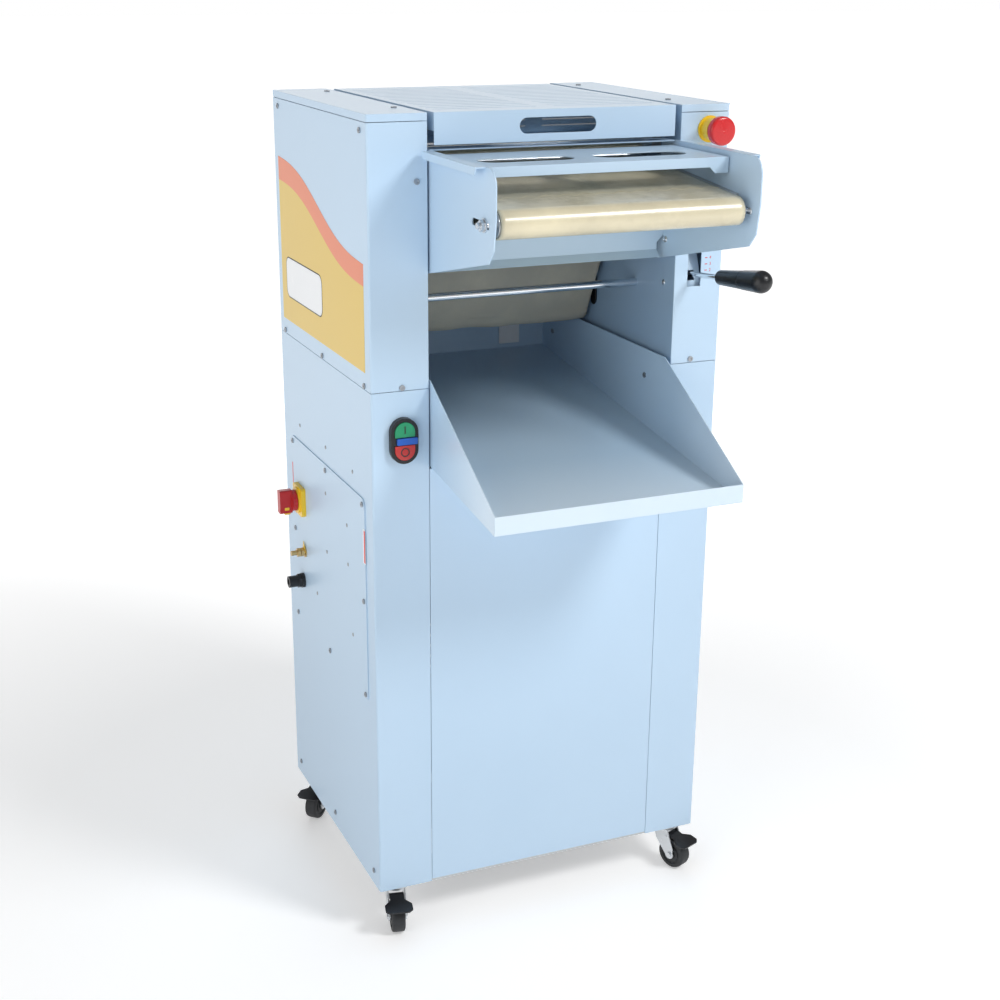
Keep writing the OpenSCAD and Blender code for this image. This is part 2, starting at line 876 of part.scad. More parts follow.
module roller_scraper() {
    tip_a = 20;
    tip_y = roller_y + (roller_r + 0.6) * cos(tip_a);
    tip_z = lower_z - (roller_r + 0.6) * sin(tip_a);
    color(steel) {
        along_x(roller_lx, roller_rx)
            polygon([[tip_y, tip_z], [tip_y + 1.5, tip_z + 0.5], [tip_y + 16, tip_z - 12], [tip_y + 13, tip_z - 12]]);
        block([open_l, tip_y + 9, tip_z - 24], [open_r, tip_y + 19, tip_z - 12]);
    }
}

module gap_shaft() {
    color([0.86, 0.87, 0.88]) {
        rod_x(link_lx - 2, lever_x + 12, gap_y, gap_z, gap_shaft_r);
        for (x = [link_lx, link_rx])
            rod_x(x, x + ecc_w, gap_y - ecc_offset, gap_z, ecc_r);
    }
}

// The bend of the lever, and its reach past the bend
bend_y = gap_y - bend_back;
bend_z = gap_z + bend_up;
rod_l = (lever_length - bend_back) / cos(rod_slope);
grip_start = rod_l - grip_l;

module gap_lever() {
    hub_r = 12;
    arm_l = norm([bend_back, bend_up]);
    color(steel) {
        difference() {
            union() {
                rod_x(lever_x - 9, lever_x + 9, gap_y, gap_z, hub_r);
                translate([lever_x, gap_y, gap_z])
                    rotate([90 - atan2(bend_up, bend_back), 0, 0])
                        cylinder(d = lever_rod_d, h = arm_l);
                translate([lever_x, bend_y, bend_z])
                    sphere(d = lever_rod_d + 0.8);
                translate([lever_x, bend_y, bend_z])
                    rotate([90 - rod_slope, 0, 0])
                        cylinder(d = lever_rod_d, h = grip_start + 60);
            }
            rod_x(lever_x - 10, lever_x + 10, gap_y, gap_z, gap_shaft_r);
        }
    }
}

module lever_grip() {
    joint = 60;
    color(dark)
        translate([lever_x, bend_y, bend_z])
            rotate([90 - rod_slope, 0, 0])
                translate([0, 0, grip_start])
                    difference() {
                        rotate_extrude()
                            polygon(concat([[0, 0], [grip_small_d / 2 - 1, 0], [grip_small_d / 2, 1],
                                [grip_large_d / 2 - 2.4, joint], [grip_large_d / 2 - 3, joint + 0.4],
                                [grip_large_d / 2 - 3, joint + 1.6], [grip_large_d / 2 - 2, joint + 2]],
                                [for (a = [0:10:90]) [grip_large_d / 2 * cos(a),
                                    grip_l - grip_large_d / 2 + grip_large_d / 2 * sin(a)]]));
                        translate([0, 0, -over])
                            cylinder(d = lever_rod_d, h = 60 + over);
                    }
}

// ---------- belts, moulding section and drive ----------

module infeed_drive_roller() {
    color(steel) {
        rod_x(belt_x0 - 2, belt_x1 + 2, drive_y, drive_z, belt_roller_r);
        rod_x(chain_second_x - 3, plate_rx + boss_t + 3, drive_y, drive_z, drive_shaft_r);
        sprocket(chain_second_x + 1, drive_y, drive_z, sprocket_second_r, 11);
    }
}

module infeed_nose_roller() {
    color(steel)
        difference() {
            rod_x(belt_x0 - 2, belt_x1 + 2, nose_y, nose_z, belt_roller_r);
            rod_x(belt_x0 - 4, belt_x1 + 4, nose_y, nose_z, nose_axle_r + run_fit);
        }
}

module moulding_belt() {
    color([0.85, 0.82, 0.72])
        along_x(mould_belt_x0, mould_belt_x1)
            difference() {
                stadium([mould_top_y, mould_top_z], [mould_bottom_y, mould_bottom_z], mould_out_r);
                stadium([mould_top_y, mould_top_z], [mould_bottom_y, mould_bottom_z], mould_in_r);
            }
}

module moulding_roller(y, z, x0) {
    rod_x(mould_belt_x0 - 2, mould_belt_x1 + 2, y, z, mould_roller_r);
    rod_x(x0, plate_rx + boss_t + 3, y, z, mould_shaft_r);
}

module moulding_top_roller() {
    color(steel) {
        moulding_roller(mould_top_y, mould_top_z, chain_second_x - 3);
        sprocket(chain_second_x + 1, mould_top_y, mould_top_z, sprocket_second_r, 11);
    }
}

module moulding_bottom_roller() {
    color(steel)
        moulding_roller(mould_bottom_y, mould_bottom_z, plate_lx - boss_t - 3);
}

// Board behind the moulding belt, with a deflector that leans over it
module pressure_board() {
    off = mould_out_r + board_gap;
    a = [mould_top_y + off * cos(mould_lean), mould_top_z + off * sin(mould_lean)];
    b = [mould_bottom_y + off * cos(mould_lean), mould_bottom_z + off * sin(mould_lean)];
    c = [roller_y + roller_r + 72, nip_z + 24];
    color(steel)
        along_x(open_l, open_r)
            polygon([c, a, b, b + [2, 1], a + [2, 1], c + [2, 1]]);
}

module gearmotor() {
    box_w = 100;
    box_x0 = -150;
    color([0.35, 0.38, 0.42])
        difference() {
            union() {
                block([box_x0, motor_y - 55, motor_z - motor_r], [box_x0 + box_w, motor_y + 55, motor_z + 55]);
                rod_x(box_x0 + box_w, 140, motor_y, motor_z, motor_r - 6);
                for (i = [0:11])
                    rod_x(box_x0 + box_w + 10 + i * 12, box_x0 + box_w + 14 + i * 12, motor_y, motor_z, motor_r);
                block([-20, motor_y - 30, motor_z + 30], [60, motor_y + 30, motor_z + motor_r + 26]);
                block([0, motor_y - 50, motor_z - motor_r], [90, motor_y + 50, motor_z - 20]);
            }
            rod_x(box_x0 - over, box_x0 + 40, motor_y, motor_z, motor_shaft_r + run_fit);
        }
}

module motor_sprocket() {
    color(steel) {
        rod_x(chain_main_x - 2, -115, motor_y, motor_z, motor_shaft_r);
        sprocket(chain_main_x + 1, motor_y, motor_z, sprocket_main_r, 14);
    }
}

// Main chain from the motor, and a second one round the two belt drives
module drive_chains() {
    slack = 0.6;
    color(dark) {
        along_x(chain_main_x, chain_main_x + chain_w)
            difference() {
                stadium([motor_y, motor_z], [roller_y, lower_z], sprocket_main_r + chain_t);
                stadium([motor_y, motor_z], [roller_y, lower_z], sprocket_main_r + slack);
            }
        along_x(chain_second_x, chain_second_x + chain_w)
            difference() {
                chain_three(sprocket_second_r + chain_t);
                chain_three(sprocket_second_r + slack);
            }
    }
}

module chain_three(r) {
    hull()
        for (place = [[drive_y, drive_z], [roller_y, lower_z], [mould_top_y, mould_top_z]])
            translate(place)
                circle(r, $fn = 32);
}

// ---------- lid and guard ----------

module top_lid() {
    mid = (lid_lx + lid_rx) / 2;
    strip = 26;
    edge = 14;
    vent_l = (lid_rx - lid_lx - strip) / 2 - edge;
    color(paint)
        difference() {
            union() {
                block([lid_lx, front_y, top_z - skin_t], [lid_rx, lid_back, top_z]);
                block([lid_lx, front_y, top_z - lid_lip], [lid_rx, front_y + skin_t, top_z]);
                for (x = [lid_lx, lid_rx - skin_t])
                    block([x, front_y, top_z - lid_flange], [x + skin_t, lid_back, top_z]);
                for (side = [-1, 1])
                    rod_x(side < 0 ? plate_lx : lid_rx - skin_t, side < 0 ? lid_lx + skin_t : plate_rx,
                        lid_pin_y, lid_pin_z, lid_pin_r);
            }
            translate([mid, 0, top_z - lid_lip / 2])
                along_y(front_y - over, front_y + skin_t + over)
                    oblong(slot_l, slot_h);
            for (y = [vent_front:vent_pitch:vent_back])
                for (side = [-1, 1])
                    translate([mid + side * (strip / 2 + vent_l / 2), y, top_z - skin_t - over])
                        linear_extrude(skin_t + 2 * over)
                            square([vent_l, vent_w], center = true);
        }
}

module infeed_guard() {
    x0 = cheek_lx + cheek_t + guard_side_gap;
    x1 = cheek_rx - cheek_t - guard_side_gap;
    mid = (x0 + x1) / 2;
    hole_step = guard_hole_l / 2 + 15;
    color(paint)
        difference() {
            union() {
                block([x0, guard_front, guard_top - guard_t], [x1, guard_back, guard_top]);
                along_y(guard_front, guard_front + guard_t)
                    polygon([[x0, guard_top], [x1, guard_top], [x1, guard_top - guard_tab],
                        [x1 - guard_tab_w + 8, guard_top - guard_tab], [x1 - guard_tab_w, guard_top - guard_lip],
                        [x0 + guard_tab_w, guard_top - guard_lip], [x0 + guard_tab_w - 8, guard_top - guard_tab],
                        [x0, guard_top - guard_tab]]);
                for (side = [-1, 1]) {
                    wall = side < 0 ? x0 : x1 - guard_t;
                    along_x(wall, wall + guard_t)
                        polygon([[guard_front, guard_top], [guard_back, guard_top],
                            [guard_back, guard_top - 10], [guard_front, guard_top - guard_lip]]);
                    rod_x(side < 0 ? cheek_lx : x1 - guard_t, side < 0 ? x0 + guard_t : cheek_rx,
                        guard_pin_y, guard_pin_z, guard_pin_r);
                }
            }
            for (side = [-1, 1])
                translate([mid + side * hole_step, guard_hole_y, guard_top - guard_t - over])
                    linear_extrude(guard_t + 2 * over)
                        oblong(guard_hole_l, guard_hole_w);
        }
}

// ---------- controls ----------

module estop_collar() {
    color([0.95, 0.75, 0.10])
        difference() {
            union() {
                rod_y(front_y - collar_l, front_y - 3, estop_x, estop_z, collar_r);
                rod_y(front_y - 3, front_y, estop_x, estop_z, collar_r + 3);
            }
            rod_y(front_y - collar_l - over, front_y + over, estop_x, estop_z, estop_stem_r + run_fit);
        }
}

module estop_head() {
    head_l = 13;
    head_r = estop_d / 2;
    round_r = 4;
    color([0.80, 0.08, 0.08])
        translate([estop_x, front_y, estop_z])
            rotate([90, 0, 0]) {
                translate([0, 0, 2])
                    cylinder(r = estop_stem_r, h = collar_l + estop_gap);
                translate([0, 0, collar_l + estop_gap])
                    rotate_extrude()
                        polygon(concat([[0, 0], [head_r - 3, 0], [head_r, 2]],
                            [for (a = [0:15:90]) [head_r - round_r + round_r * cos(a),
                                head_l - round_r + round_r * sin(a)]], [[0, head_l + 0.8]]));
            }
}

// Outline of the station, shrunk by an inset
module station_outline(inset) {
    rotate(90)
        oblong(station_h - 2 * inset, station_w - 2 * inset);
}

// Upper or lower button field of the station; grow widens it for its pocket
module button_outline(side, grow) {
    intersection() {
        station_outline(button_inset - grow);
        translate([-station_w, side > 0 ? label_half_h - grow : -station_h - label_half_h + grow])
            square([2 * station_w, station_h]);
    }
}

module start_stop_housing() {
    color(dark)
        difference() {
            translate([station_x, 0, station_z])
                along_y(front_y - station_d, front_y)
                    station_outline(0);
            for (side = [-1, 1])
                translate([station_x, 0, station_z])
                    along_y(front_y - station_d - over, front_y - 1)
                        button_outline(side, 0.35);
        }
    color(dark)
        rod_y(front_y, front_y + 30, station_x, station_z, 10.5);
}

module push_button(side) {
    translate([station_x, 0, station_z])
        along_y(front_y - station_d - button_proud, front_y - station_d - button_proud + button_depth)
            button_outline(side, 0);
}

module start_button() {
    color([0.10, 0.65, 0.38])
        push_button(1);
}

module stop_button() {
    color([0.80, 0.12, 0.12])
        push_button(-1);
}

module main_switch_base() {
    color([0.95, 0.80, 0.10])
        difference() {
            along_x(access_x - switch_plate_t, access_x)
                rounded_box([switch_y - switch_size / 2, switch_z - switch_size / 2],
                    [switch_y + switch_size / 2, switch_z + switch_size / 2], 5);
            rod_x(access_x - switch_plate_t - over, access_x + over, switch_y, switch_z, switch_axle_r + run_fit);
        }
    color(dark)
        difference() {
            rod_x(access_x - switch_plate_t - switch_ring_t, access_x - switch_plate_t, switch_y, switch_z, knob_r + 4);
            rod_x(access_x - switch_plate_t - 5, access_x, switch_y, switch_z, switch_axle_r + run_fit);
        }
}

// Round knob with a bar handle across it
module main_switch_knob() {
    face = access_x - switch_plate_t - switch_ring_t - move_gap;
    bar_h = 2 * knob_r + 4;
    bar_w = 15;
    color([0.70, 0.08, 0.10])
        union() {
            rod_x(face - 8, face, switch_y, switch_z, knob_r);
            along_x(face - 27, face - 8 + over)
                translate([switch_y, switch_z])
                    rounded_box([-bar_w / 2, -bar_h / 2], [bar_w / 2, bar_h / 2], 3);
            rod_x(face - over, access_x - 3, switch_y, switch_z, switch_axle_r);
        }
}

module earth_terminal() {
    washer_r = 9;
    color([0.80, 0.62, 0.25]) {
        rod_x(access_x - 24, left_x + 8, earth_y, earth_z, earth_r);
        rod_x(access_x - 2, access_x, earth_y, earth_z, washer_r);
        for (x = [access_x - 8, access_x - 14])
            translate([x, earth_y, earth_z])
                rotate([0, 90, 0])
                    cylinder(r = 7.5, h = 5, $fn = 6);
    }
}

module cable_gland() {
    bore_r = 5;
    color(dark)
        difference() {
            union() {
                rod_x(access_x - 5, access_x, gland_y, gland_z, 12);
                translate([access_x - 11, gland_y, gland_z])
                    rotate([0, 90, 0])
                        cylinder(r = 12, h = 6, $fn = 6);
                rod_x(access_x - 26, access_x - 11, gland_y, gland_z, 9.5);
                rod_x(access_x - 1, left_x + 12, gland_y, gland_z, 7.9);
            }
            rod_x(access_x - 30, left_x + 14, gland_y, gland_z, bore_r);
        }
}

// Top edge of the decal: an S-shaped rise from the front to the back
function decal_edge(t) = decal_high_front + (decal_high_back - decal_high_front) * t
    - 12 * sin(360 * t);

module side_decal() {
    steps = 24;
    color([0.95, 0.75, 0.15])
        along_x(left_x - decal_t, left_x)
            polygon(concat([[decal_back, decal_low], [decal_front, decal_low]],
                [for (i = [0:steps]) [decal_front + (decal_back - decal_front) * i / steps, decal_edge(i / steps)]]));
}

// ---------- castors ----------

// Places a castor piece; the castor's own front is the side that the wheel trails to
module at_castor(i) {
    place = castor_places[i];
    translate([place[0] * (cab_w / 2 - castor_inset_x), place[1] * (cab_d / 2 - castor_inset_y), 0])
        rotate([0, 0, place[2]])
            children();
}

module castor_plates() {
    color(steel)
        for (place = castor_places)
            translate([place[0] * (cab_w / 2 - castor_inset_x), place[1] * (cab_d / 2 - castor_inset_y), 0]) {
                difference() {
                    translate([-castor_plate / 2, -castor_plate / 2, castor_h - castor_plate_t])
                        cube([castor_plate, castor_plate, castor_plate_t]);
                    castor_holes(castor_h - castor_plate_t - over, castor_h + over);
                }
                translate([0, 0, castor_h - castor_plate_t - race_t])
                    cylinder(r = race_r, h = race_t);
                translate([0, 0, fork_top - 6])
                    cylinder(r = kingpin_r, h = castor_h - fork_top);
            }
}

module fork(i) {
    leg_x = fork_gap / 2;
    color(steel)
        at_castor(i) {
            difference() {
                union() {
                    translate([0, 0, fork_top - fork_t])
                        cylinder(r = race_r + 1, h = fork_t);
                    translate([-leg_x - fork_t, -17, fork_top - fork_t])
                        cube([fork_gap + 2 * fork_t, 28, fork_t]);
                }
                translate([0, 0, fork_top - fork_t - over])
                    cylinder(r = kingpin_r + run_fit, h = fork_t + 2 * over);
            }
            for (side = [-1, 1])
                along_x(side < 0 ? -leg_x - fork_t : leg_x, side < 0 ? -leg_x : leg_x + fork_t) {
                    polygon([[-17, fork_top], [11, fork_top], [4, fork_top - 22], [-castor_trail + 7, wheel_r - 3],
                        [-castor_trail - 7, wheel_r - 3], [-castor_trail - 7, wheel_r + 12]]);
                    translate([-castor_trail, wheel_r])
                        circle(8);
                }
            rod_x(-leg_x - fork_t - 2, leg_x + fork_t + 2, -castor_trail, wheel_r, castor_axle_r);
            rod_x(-leg_x - fork_t - 1, leg_x + fork_t + 1, brake_pin_y, brake_pin_z, brake_pin_r);
        }
}

module wheel(i) {
    color(dark)
        at_castor(i)
            difference() {
                translate([-wheel_w / 2, -castor_trail, wheel_r])
                    rotate([0, 90, 0])
                        rotate_extrude()
                            polygon([[0, 0], [14, 0], [14, 1.5], [18, 1.5], [18, 0], [wheel_r - 2.5, 0],
                                [wheel_r - 0.8, 0.8], [wheel_r, 3], [wheel_r, wheel_w - 3],
                                [wheel_r - 0.8, wheel_w - 0.8], [wheel_r - 2.5, wheel_w], [18, wheel_w],
                                [18, wheel_w - 1.5], [14, wheel_w - 1.5], [14, wheel_w], [0, wheel_w]]);
                rod_x(-wheel_w, wheel_w, -castor_trail, wheel_r, castor_axle_r + run_fit);
            }
}

// Brake pedal: a hub between the fork legs and a plate that spreads over the wheel
module brake(i) {
    hub_r = 4.5;
    half_in = fork_gap / 2 - 1;
    half_out = 21;
    plate_t = 2.5;
    slope = 11;
    color(dark)
        at_castor(i)
            difference() {
                union() {
                    rod_x(-half_in, half_in, brake_pin_y, brake_pin_z, hub_r);
                    translate([0, brake_pin_y, brake_pin_z])
                        rotate([slope, 0, 0])
                            translate([0, 0, hub_r - plate_t - 0.5])
                                linear_extrude(plate_t)
                                    polygon([[-half_in, 0], [half_in, 0], [half_in, -14], [half_out, -24],
                                        [half_out, -brake_reach + 5], [half_out - 6, -brake_reach],
                                        [-half_out + 6, -brake_reach], [-half_out, -brake_reach + 5],
                                        [-half_out, -24], [-half_in, -14]]);
                }
                rod_x(-fork_gap, fork_gap, brake_pin_y, brake_pin_z, brake_pin_r + run_fit);
            }
}

base_frame();
left_lower_cover();
right_lower_cover();
left_upper_cover();
right_upper_cover();
column_caps();
lower_front_panel();
back_panel();
left_frame_plate();
right_frame_plate();
frame_tie_bars();
side_access_cover();
discharge_tray();
belt_apron();
cover_screws();
infeed_cheeks();
infeed_bed();
infeed_belt();
tension_bolts();
moulding_belt();
pressure_board();
roller_scraper();
gearmotor();
drive_chains();
castor_plates();
main_switch_base();
earth_terminal();
cable_gland();
start_stop_housing();
estop_collar();
side_decal();
top_lid();
infeed_guard();
upper_roller();
lower_roller();
roller_carriage();
gap_shaft();
gap_lever();
lever_grip();
infeed_drive_roller();
infeed_nose_roller();
moulding_top_roller();
moulding_bottom_roller();
motor_sprocket();
estop_head();
start_button();
stop_button();
main_switch_knob();
fork(0);  // front_left_fork
fork(1);  // front_right_fork
fork(2);  // rear_left_fork
fork(3);  // rear_right_fork
wheel(0);  // front_left_wheel
wheel(1);  // front_right_wheel
wheel(2);  // rear_left_wheel
wheel(3);  // rear_right_wheel
brake(0);  // front_left_brake
brake(1);  // front_right_brake
brake(2);  // rear_left_brake
brake(3);  // rear_right_brake
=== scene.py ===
import json
import math
import random

import bmesh
import bpy
from mathutils import Matrix, Vector


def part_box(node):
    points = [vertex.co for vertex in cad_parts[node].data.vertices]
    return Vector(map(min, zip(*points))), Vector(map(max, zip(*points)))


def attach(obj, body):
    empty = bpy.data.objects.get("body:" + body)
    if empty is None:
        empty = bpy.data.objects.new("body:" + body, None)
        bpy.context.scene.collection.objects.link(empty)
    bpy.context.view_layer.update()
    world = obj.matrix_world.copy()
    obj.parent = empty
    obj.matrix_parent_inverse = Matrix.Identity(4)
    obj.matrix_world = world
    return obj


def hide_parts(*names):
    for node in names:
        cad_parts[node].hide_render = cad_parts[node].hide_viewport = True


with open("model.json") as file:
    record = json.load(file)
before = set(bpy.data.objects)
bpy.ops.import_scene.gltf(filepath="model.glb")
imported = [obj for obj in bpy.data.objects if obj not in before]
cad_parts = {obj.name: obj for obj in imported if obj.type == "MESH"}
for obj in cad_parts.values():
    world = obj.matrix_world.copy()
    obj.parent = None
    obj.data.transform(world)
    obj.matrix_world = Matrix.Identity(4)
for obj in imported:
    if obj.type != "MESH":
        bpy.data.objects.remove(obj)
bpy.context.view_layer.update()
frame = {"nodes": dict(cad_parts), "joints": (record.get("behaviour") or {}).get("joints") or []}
print("stage: frame loaded")

mm = 0.001
turn = 2 * math.pi
joints = {j["name"]: j for j in frame["joints"]}


def low(node):
    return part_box(node)[0]


def high(node):
    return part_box(node)[1]


def middle(node):
    lowest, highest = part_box(node)
    return (lowest + highest) / 2


# camera first: everything else is judged through it
view = dict(place=(-0.949, -2.217, 1.412), turn=-23.33, tilt=70.64, roll=0.43,
            lens=57.66, shift=(0.0058, 0.0224))

cameraData = bpy.data.cameras.new("studioCamera")
cameraData.lens = view["lens"]
cameraData.sensor_width = 36
cameraData.shift_x, cameraData.shift_y = view["shift"]
camera = bpy.data.objects.new("studioCamera", cameraData)
camera.location = view["place"]
camera.rotation_euler = (
    Matrix.Rotation(math.radians(view["turn"]), 3, "Z")
    @ Matrix.Rotation(math.radians(view["tilt"]), 3, "X")
    @ Matrix.Rotation(math.radians(view["roll"]), 3, "Z")
).to_euler()
bpy.context.collection.objects.link(camera)
bpy.context.scene.camera = camera

studio = dict(
    world=(1.0, 1.0, 1.0), horizon=0.44, zenith=0.20, backdrop=1.0,
    lamps=[
        # name, place, target, size, watts
        ("keyLamp", (1.7, -2.6, 3.2), (0.0, -0.1, 0.7), 1.1, 70),
        ("fillLamp", (-3.0, -1.6, 1.6), (-0.1, 0.0, 0.6), 2.6, 27),
        ("topLamp", (-0.2, -0.3, 3.4), (0.0, 0.0, 1.0), 2.2, 5),
        ("backLamp", (0.8, 2.8, 1.5), (0.0, 0.1, 0.8), 2.4, 16),
    ],
)

world = bpy.data.worlds.new("softRoom")
bpy.context.scene.world = world
world.use_nodes = True
room = world.node_tree
background = room.nodes["Background"]
background.inputs["Color"].default_value = (*studio["world"], 1)
seen = room.nodes.new("ShaderNodeLightPath")
heading = room.nodes.new("ShaderNodeSeparateXYZ")
room.links.new(room.nodes.new("ShaderNodeTexCoord").outputs["Generated"], heading.inputs["Vector"])
fade = room.nodes.new("ShaderNodeMapRange")
fade.inputs["To Min"].default_value = studio["horizon"]
fade.inputs["To Max"].default_value = studio["zenith"]
room.links.new(heading.outputs["Z"], fade.inputs["Value"])
strength = room.nodes.new("ShaderNodeMix")
room.links.new(fade.outputs["Result"], strength.inputs["A"])
strength.inputs["B"].default_value = studio["backdrop"]
room.links.new(seen.outputs["Is Camera Ray"], strength.inputs["Factor"])
room.links.new(strength.outputs["Result"], background.inputs["Strength"])
bpy.context.scene.view_settings.view_transform = "Standard"

for name, place, target, size, watts in studio["lamps"]:
    lampData = bpy.data.lights.new(name, "AREA")
    lampData.shape = "DISK"
    lampData.size = size
    lampData.energy = watts
    lamp = bpy.data.objects.new(name, lampData)
    lamp.location = place
    lamp.rotation_euler = (Vector(target) - Vector(place)).to_track_quat("-Z", "Y").to_euler()
    bpy.context.collection.objects.link(lamp)
print("stage: camera and lights")


# shader helpers

class Flow:
    # one socket of a finish, so that shader maths reads as plain sums
    def __init__(self, finish, socket):
        self.finish = finish
        self.socket = socket

    def calc(self, operation, *values):
        return self.finish.add("ShaderNodeMath", {"operation": operation}, dict(enumerate(values)))

    def __add__(self, other):
        return self.calc("ADD", self, other)

    def __sub__(self, other):
        return self.calc("SUBTRACT", self, other)

    def __rsub__(self, other):
        return self.calc("SUBTRACT", other, self)

    def __mul__(self, other):
        return self.calc("MULTIPLY", self, other)

    def __truediv__(self, other):
        return self.calc("DIVIDE", self, other)

    def __pow__(self, other):
        return self.calc("POWER", self, other)

    def sine(self):
        return self.calc("SINE", self)

    __radd__ = __add__
    __rmul__ = __mul__


class Finish:
    # a material with one Principled shader; constants go on the shader's own sockets
    def __init__(self, name, **sockets):
        self.material = bpy.data.materials.new(name)
        self.material.use_nodes = True
        self.tree = self.material.node_tree
        self.shader = self.tree.nodes["Principled BSDF"]
        for key, value in sockets.items():
            self.feed(self.shader.inputs[key.replace("_", " ")], value)

    def feed(self, socket, value):
        if isinstance(value, Flow):
            self.tree.links.new(value.socket, socket)
        elif socket.type == "RGBA" and len(value) == 3:
            socket.default_value = (*value, 1)
        else:
            socket.default_value = value

    def add(self, kind, settings=None, values=None, out=0):
        node = self.tree.nodes.new(kind)
        for key, value in (settings or {}).items():
            if key == "stops":
                ramp = node.color_ramp
                while len(ramp.elements) < len(value):
                    ramp.elements.new(1)
                for element, (spot, colour) in zip(ramp.elements, value):
                    element.position = spot
                    element.color = (*colour, 1)
            else:
                setattr(node, key, value)
        for key, value in (values or {}).items():
            self.feed(node.inputs[key], value)
        return Flow(self, node.outputs[out])

    def put(self, **sockets):
        for key, value in sockets.items():
            self.feed(self.shader.inputs[key.replace("_", " ")], value)

    def place(self):
        return self.add("ShaderNodeTexCoord", out="Object")

    def stretched(self, scale):
        return self.add("ShaderNodeVectorMath", {"operation": "MULTIPLY"},
                        {0: self.place(), 1: scale})

    def axes(self):
        node = self.add("ShaderNodeSeparateXYZ", None, {0: self.place()}).socket.node
        return [Flow(self, output) for output in node.outputs]

    def noise(self, scale, detail=2.0, rough=0.5, vector=None):
        return self.add("ShaderNodeTexNoise", None, {
            "Vector": vector or self.place(), "Scale": scale, "Detail": detail, "Roughness": rough})

    def mix(self, amount, first, second):
        return self.add("ShaderNodeMix", {"data_type": "RGBA"}, {0: amount, 6: first, 7: second}, 2)

    def ramp(self, value, lowEnd, highEnd, start, end):
        return self.add("ShaderNodeMapRange", {"clamp": True}, {
            "Value": value, "From Min": lowEnd, "From Max": highEnd, "To Min": start, "To Max": end})

    def bump(self, height, distance, strength=1.0, bevel=None):
        values = {"Height": height, "Distance": distance, "Strength": strength}
        if bevel:
            values["Normal"] = self.add("ShaderNodeBevel", {"samples": 4}, {"Radius": bevel})
        self.put(Normal=self.add("ShaderNodeBump", None, values))


# finishes

finishValues = dict(
    coat=(0.475, 0.635, 0.800), coatPale=(0.530, 0.690, 0.850), coatRough=0.36,
    # darker copy of the cabinet coat: painted shade for the frame plates facing the opening
    shadedInterior=(0.30, 0.44, 0.60), shadedInteriorPale=(0.36, 0.50, 0.66),
    steel=(0.62, 0.63, 0.64), zinc=(0.70, 0.73, 0.76),
    belt=(0.80, 0.72, 0.50), canvas=(0.66, 0.60, 0.46),
)


def paintCoat(name, colour, pale, rough, bevel=0.0007):
    # powder coat: fine orange peel, a faint cloudiness and a few rubbed patches
    coat = Finish(name, Coat_Weight=0.18, Coat_Roughness=0.25)
    cloud = coat.noise(3.0, 3.0)
    grain = coat.noise(900.0, 2.0)
    wear = coat.ramp(coat.noise(14.0, 6.0, 0.65), 0.62, 0.78, 0.0, 1.0)
    coat.put(Base_Color=coat.mix(cloud, colour, pale),
             Roughness=coat.ramp(cloud, 0.3, 0.7, rough - 0.03, rough + 0.04) + wear * 0.06 + grain * 0.03)
    coat.bump(grain, 0.00006, 0.6, bevel)
    return coat.material


def metal(name, colour, rough, lines=None, shade=0.12, bevel=0.0004):
    # turned, drawn or plated metal; lines is the stretch of its marks along each axis
    bright = Finish(name, Metallic=1.0)
    marks = bright.noise(1.0, 3.0, 0.6, bright.stretched(lines or (300, 300, 300)))
    smear = bright.noise(9.0, 4.0, 0.6)
    dull = tuple(c * (1 - shade) for c in colour)
    bright.put(Base_Color=bright.mix(marks * 0.6 + smear * 0.4, dull, colour),
               Roughness=bright.ramp(marks, 0.3, 0.7, rough * 0.8, rough * 1.2) + smear * 0.06)
    bright.bump(marks, 0.00002, 0.5, bevel)
    return bright.material


def moulded(name, colour, rough, grainScale=1400.0, depth=0.00005, bevel=0.0006, coat=0.0):
    # moulded plastic with a fine skin and slight scuffs
    skin = Finish(name, Coat_Weight=coat, Coat_Roughness=0.1)
    grain = skin.noise(grainScale, 2.0)
    scuff = skin.ramp(skin.noise(40.0, 6.0, 0.7), 0.58, 0.75, 0.0, 1.0)
    lighter = tuple(min(1, c * 1.25 + 0.01) for c in colour)
    skin.put(Base_Color=skin.mix(scuff * 0.5 + grain * 0.15, colour, lighter),
             Roughness=rough + scuff * 0.08 + grain * 0.05)
    skin.bump(grain, depth, 0.5, bevel)
    return skin.material


def beltFinish(name, colour, rough, thread, depth, stain, coat):
    # woven band: threads along X and across it, flattened by a clear film where coat is high
    band = Finish(name, Coat_Weight=coat, Coat_Roughness=0.16, Sheen_Weight=0.1)
    x, y, z = band.axes()
    turns = turn / thread
    across = (x * turns).sine()
    along = ((z - y * 0.6) * turns).sine()
    weave = across * along
    flour = band.ramp(band.noise(7.0, 5.0, 0.6), 0.42, 0.72, 0.0, 1.0)
    dusty = tuple(min(1, c * 1.12) for c in colour)
    band.put(Base_Color=band.mix(flour * 0.7 + weave * 0.10 + 0.05, stain, band.mix(flour, colour, dusty)),
             Roughness=rough + flour * 0.12 + weave * 0.03)
    band.bump(weave + band.noise(1800.0, 2.0) * 0.6, depth, 0.5)
    return band.material


